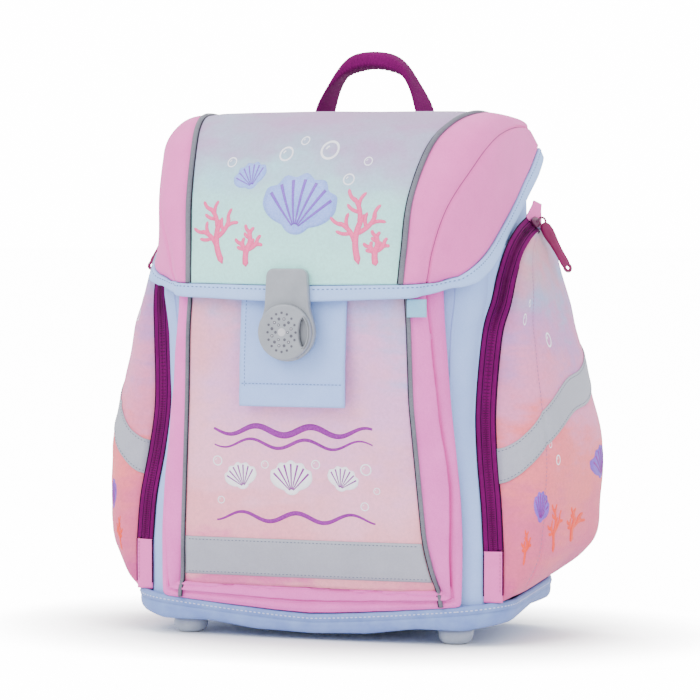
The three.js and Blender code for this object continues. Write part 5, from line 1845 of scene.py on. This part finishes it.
# %% [markdown]
# The carry handle is a wide ribbon folded over a pad. Its legs are thin and flat, its top is thick, and
# the ribbon gathers a little underneath.

# %% Carry handle
HANDLE_HALF, HANDLE_TOP, HANDLE_WIDTH, HANDLE_PAD = 43.0, 450.0, 27.0, 10.0
HANDLE_STEPS, HANDLE_MIDDLE = 120, 5
HANDLE_ROWS = [(1.00, 0.02, 0.30), (0.94, 0.20, 0.30), (0.81, 0.48, 0.34), (0.62, 0.77, 0.66), (0.34, 0.95, 0.97)]
HANDLE_LOW = lerp(LID_LOW, LID_TOP, 0.989) + 1.2
right = [(x * HANDLE_HALF, lerp(HANDLE_LOW, HANDLE_TOP, z), w * HANDLE_PAD) for x, z, w in HANDLE_ROWS]
arch = right + [(0.0, HANDLE_TOP, HANDLE_PAD)] + [(-x, z, w) for x, z, w in reversed(right)]
arch_x, arch_z, arch_wall = ([row[k] for row in arch] for k in range(3))
rings = []
steps = spread(0, len(arch) - 1, HANDLE_STEPS)
centres = [Vector((smooth(arch_x, t), HANDLE_Y, smooth(arch_z, t))) for t in steps]
for i, t in enumerate(steps):
    along = (centres[min(i + 1, HANDLE_STEPS)] - centres[max(i - 1, 0)]).normalized()
    top_share = math.exp(-(((t - HANDLE_MIDDLE) / 2.2) ** 4))
    wall = smooth(arch_wall, t) / 2 + 1.7 * top_share
    half = HANDLE_WIDTH / 2
    twist = math.radians(smooth([0, 0, -6, 4, 13, 14], abs(t - HANDLE_MIDDLE)))
    across = (Vector((math.sin(twist), math.cos(twist), 0)) - along * (along.x * math.sin(twist))).normalized()
    out = across.cross(along).normalized()
    if out.z < -0.05 or (abs(out.z) <= 0.05 and out.x * (t - HANDLE_MIDDLE) > 0):
        out.negate()
    ring = []
    for a in angles(44):
        x, y = math.cos(a), math.sin(a)
        k = (abs(x) ** 3.2 + abs(y) ** 3.2) ** (-1 / 3.2)
        gather = 1.3 * top_share * math.sin(t * 30 + 1.5 * math.sin(a * 3)) if y < 0.2 else 0.0
        rib = 0.12 * math.cos(x * 24)
        rise = y * k * (wall + rib) + gather * (0.2 - y) * 0.5 - 1.7 * top_share
        ring.append(centres[i] + across * x * k * half + out * rise)
    rings.append(ring)
handle = finish_mesh("carry handle", rings_bm(rings), handle_cloth, nodes=["carry_handle"], slot="handle_cloth")

# %% [markdown]
# The back isn't in the photo. It gets the plain usual build: a firm panel, three pads, and padded
# shoulder straps with webbing. The pads swell by cloth simulation, as stuffed cloth does.

# %% Back panel
PANEL_HALF, PANEL_WALL, PAD_WALL = 118.0, 6.0, 9.0
PAD_FRONT = BODY_BACK + 0.3 + PANEL_WALL + 0.3


def rounded_plate(width, low, high, front, depth, corner, x=0.0, puff=0.0):
    """A standing cushion: outline rings from the back edge round to the front, crowned by puff."""
    outline = [(px + x, pz) for px, pz in rounded_loop(width / 2, low, high, corner, 8, 30)]
    cx, cz = x, (low + high) / 2
    edge = [(12, 0.0), (4, 0.0), (1.2, 0.3), (0.2, 1.4), (0.0, depth * 0.5), (0.5, depth * 0.8), (2.2, depth * 0.97)]
    edge += [(5, depth), (12, depth + puff * 0.6), (24, depth + puff)]
    rings = []
    for inset, y in edge:
        ring = []
        for px, pz in outline:
            kx = 1 - inset / (width / 2)
            kz = 1 - inset / ((high - low) / 2)
            ring.append(Vector((cx + (px - cx) * kx, front + y, cz + (pz - cz) * kz)))
        rings.append(ring)
    return rings_bm(rings)


panel = rounded_plate(PANEL_HALF * 2, LID_TOP * 0.13, LID_TOP * 0.93, BODY_BACK + 0.3, PANEL_WALL - 0.4, 18)
finish_mesh("back panel", panel, lining_cloth, nodes=["back_panel"], slot="panel_cloth")

# %% [markdown]
# Each pad is remeshed and swells under pressure for a few frames. A cap keeps every point near its
# start, so the pad stays clear of its neighbours.

# %% Pads by cloth simulation
PAD_VOXEL, PAD_FRAMES = 0.005, 15


def swell(obj, cap, pressure):
    """Remeshes a pad, lets it swell for a few frames and keeps no point further than cap from its start."""
    bpy.context.view_layer.objects.active = obj
    remesh = obj.modifiers.new("remesh", "REMESH")
    remesh.mode = "VOXEL"
    remesh.voxel_size = PAD_VOXEL
    depsgraph = bpy.context.evaluated_depsgraph_get()
    mesh = bpy.data.meshes.new_from_object(obj.evaluated_get(depsgraph))
    obj.modifiers.clear()
    obj.data = mesh
    start = [v.co.copy() for v in mesh.vertices]
    modifier = obj.modifiers.new("cloth", "CLOTH")
    modifier.settings.use_pressure = True
    modifier.settings.uniform_pressure_force = pressure
    modifier.settings.effector_weights.gravity = 0.0
    modifier.settings.quality = 5
    for frame_number in range(1, PAD_FRAMES + 1):
        bpy.context.scene.frame_set(frame_number)
    depsgraph = bpy.context.evaluated_depsgraph_get()
    mesh = bpy.data.meshes.new_from_object(obj.evaluated_get(depsgraph))
    obj.modifiers.clear()
    bpy.context.scene.frame_set(1)
    for vertex, origin in zip(mesh.vertices, start):
        move = vertex.co - origin
        if move.length > cap:
            move *= cap / move.length
        move.y = max(move.y, 0.0) if origin.y > 0 else move.y
        vertex.co = origin + move
    for poly in mesh.polygons:
        poly.use_smooth = True
    obj.data = mesh
    subdivision = obj.modifiers.new("subdivision", "SUBSURF")
    subdivision.levels = 1
    subdivision.render_levels = 1


pad_width = PANEL_HALF * 0.78
pads = [
    ("back_pad_right", pad_width, LID_TOP * 0.34, LID_TOP * 0.86, 20, PANEL_HALF * 0.48),
    ("back_pad_left", pad_width, LID_TOP * 0.34, LID_TOP * 0.86, 20, -PANEL_HALF * 0.48),
    ("back_pad_low", PANEL_HALF * 1.7, LID_TOP * 0.16, LID_TOP * 0.32, 18, 0.0),
]
for name, width, low_z, high_z, corner, x in pads:
    bm = rounded_plate(width - 2, low_z + 1, high_z - 1, PAD_FRONT + 0.8, PAD_WALL - 2.6, corner, x, 0.8)
    pad = finish_mesh(name.replace("_", " "), bm, mesh_cloth, nodes=[name], slot="pad_mesh")
    swell(pad, 0.0015, 2.0)
    pad.data.materials.clear()
    pad.data.materials.append(mesh_cloth)
print("pads swollen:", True)

# %% [markdown]
# Each shoulder strap is a padded band that leaves the top of the panel and ends in a webbing, which
# runs through an adjuster down to the base.

# %% Shoulder straps
STRAP_STEPS = 70
STRAP_WIDTH, STRAP_WALL, WEBBING_WIDTH, WEBBING_WALL = 60.0, 11.0, 25.0, 2.0
STRAP_ROWS = named("x off z width wall", [
    (0.43, 0.05, 0.900, 0.85, 0.45), (0.43, 1.10, 0.897, 0.92, 0.70), (0.43, 1.90, 0.880, 0.97, 0.95),
    (0.44, 2.25, 0.840, 1.00, 1.00), (0.49, 2.35, 0.740, 1.00, 1.00), (0.56, 2.30, 0.600, 1.00, 1.00),
    (0.66, 2.25, 0.470, 0.96, 1.00), (0.80, 2.20, 0.350, 0.86, 0.90), (0.92, 2.10, 0.262, 0.62, 0.62)])
STRAP_COLUMNS = by_column(STRAP_ROWS)


def strap_centre(side, t):
    x, off, z = (smooth(STRAP_COLUMNS[k], t) for k in ("x", "off", "z"))
    return Vector((side * x * PANEL_HALF, PAD_FRONT + off * PAD_WALL, z * LID_TOP))


for side, word in SIDES:
    stations = []
    for t in spread(0, len(STRAP_ROWS) - 1, STRAP_STEPS):
        width = smooth(STRAP_COLUMNS["width"], t) * STRAP_WIDTH
        wall = smooth(STRAP_COLUMNS["wall"], t) * STRAP_WALL
        stations.append((strap_centre(side, t), width, wall))
    rings = []
    for i, (c, width, wall) in enumerate(stations):
        along = (stations[min(i + 1, STRAP_STEPS)][0] - stations[max(i - 1, 0)][0]).normalized()
        wide = (Vector((1, 0, 0)) - along * along.x).normalized()
        out = along.cross(wide).normalized()
        if out.y < 0 and i > 12:
            out.negate()
        ring = []
        for a in angles(48):
            x, y = math.cos(a), math.sin(a)
            k = (abs(x) ** 4 + abs(y) ** 4) ** (-1 / 4)
            edge = abs(x * k)
            hem = -0.28 * math.exp(-(((edge - 0.84) / 0.035) ** 2))
            thick = (wall / 2) * (1 + hem) * (1 - 0.45 * edge**6)
            ring.append(c + wide * x * k * width / 2 + out * y * k * thick)
        rings.append(ring)
    strap = finish_mesh(
        f"shoulder strap {word}", rings_bm(rings), mesh_cloth, nodes=[f"shoulder_strap_{word}"], slot="pad_mesh"
    )
    end = strap_centre(side, len(STRAP_ROWS) - 1)
    end_back = STRAP_ROWS[-1]["wall"] * STRAP_WALL / 2 + 1.02
    route = [
        Vector((end.x + side * 1.5, end.y + end_back - 1.3, end.z - 12)),
        Vector((side * PANEL_HALF * 0.985, end.y - 4, LID_TOP * 0.17)),
        Vector((side * PANEL_HALF, PAD_FRONT + 2, LID_TOP * 0.115)),
        Vector((side * PANEL_HALF, BASE_BACK + 1.3, LID_TOP * 0.085)),
    ]
    stations = [(p, Vector((1, 0, 0)), WEBBING_WIDTH, WEBBING_WALL) for p in polyline(route, 40)]
    flat_band(f"strap webbing {word}", stations, webbing_cloth, nodes=[f"strap_webbing_{word}"], slot="webbing_cloth")
    buckle = bmesh.new()
    half_w, half_h, y = WEBBING_WIDTH / 2 + 5, 11.0, end.y + end_back + 1.5
    rods = [((1.5 - half_w, z), (half_w - 1.5, z), 1.45) for z in (-half_h + 1.6, 0.0, half_h - 1.6)]
    rods += [((x, 1.5 - half_h), (x, half_h - 1.5), 1.48) for x in (-half_w + 1.8, half_w - 1.8)]
    for *ends, radius in rods:
        a, b = (Vector((end.x + x, y, end.z - 4 + z)) for x, z in ends)
        join_bm(buckle, tube_bm([a.lerp(b, t) for t in spread(0, 1, 6)], radius, 12))
    finish_mesh(
        f"strap adjuster {word}", buckle, adjuster_plastic,
        nodes=[f"strap_adjuster_{word}"], slot="adjuster_plastic",
    )

# %% [markdown]
# A plain pale floor and large soft lights give the even studio light of the photo.

# %% Floor and lights
FLOOR_GLOW, WORLD_LIGHT, WORLD_GLOW = 13.0, 1.9, 13.6
floor_bm = bmesh.new()
bmesh.ops.create_grid(floor_bm, x_segments=1, y_segments=1, size=30.0)
floor_mesh = bpy.data.meshes.new("floor")
floor_bm.to_mesh(floor_mesh)
floor_bm.free()
floor = bpy.data.objects.new("floor", floor_mesh)
bpy.context.collection.objects.link(floor)
floor_material, floor_nodes, floor_shader = surface("pale floor", 0.9)
floor_shader.inputs["Base Color"].default_value = (0.93, 0.93, 0.94, 1)
floor_shader.inputs["Emission Color"].default_value = (1, 1, 1, 1)
# The floor glows for the camera only, and the glow fades by ambient occlusion under the bag: a painted contact shadow
seen = floor_nodes.add("ShaderNodeLightPath").outputs["Is Camera Ray"]
painted_shadow_openness = floor_nodes.add("ShaderNodeAmbientOcclusion", {"Distance": 0.14}, samples=8).outputs["AO"]
glow = floor_nodes.math("MULTIPLY", floor_nodes.math("POWER", painted_shadow_openness, 5.0), FLOOR_GLOW)
floor_nodes.tree.links.new(floor_nodes.math("MULTIPLY", seen, glow), floor_shader.inputs["Emission Strength"])
floor.data.materials.append(floor_material)

world = bpy.data.worlds.new("studio")
world.use_nodes = True
bpy.context.scene.world = world
world_nodes = Nodes(world.node_tree)
world.node_tree.nodes["Background"].inputs[0].default_value = (1.0, 1.0, 1.0, 1)
seen = world_nodes.add("ShaderNodeLightPath").outputs["Is Camera Ray"]
glow = world_nodes.math("ADD", world_nodes.math("MULTIPLY", seen, WORLD_GLOW), WORLD_LIGHT)
world.node_tree.links.new(glow, world.node_tree.nodes["Background"].inputs[1])


def area_light(name, place, aim, size, power):
    data = bpy.data.lights.new(name, "AREA")
    data.size = size
    data.energy = power
    light = bpy.data.objects.new(name, data)
    bpy.context.collection.objects.link(light)
    light.location = place
    light.rotation_euler = (Vector(place) - Vector(aim)).to_track_quat("Z", "Y").to_euler()


area_light("key", (-0.9, -1.8, 1.7), (0, 0, 0.2), 1.2, 36)
area_light("fill", (1.8, -1.2, 0.9), (0, 0, 0.2), 1.4, 10)
area_light("top", (0.0, 0.2, 2.2), (0, 0, 0.2), 1.6, 16)
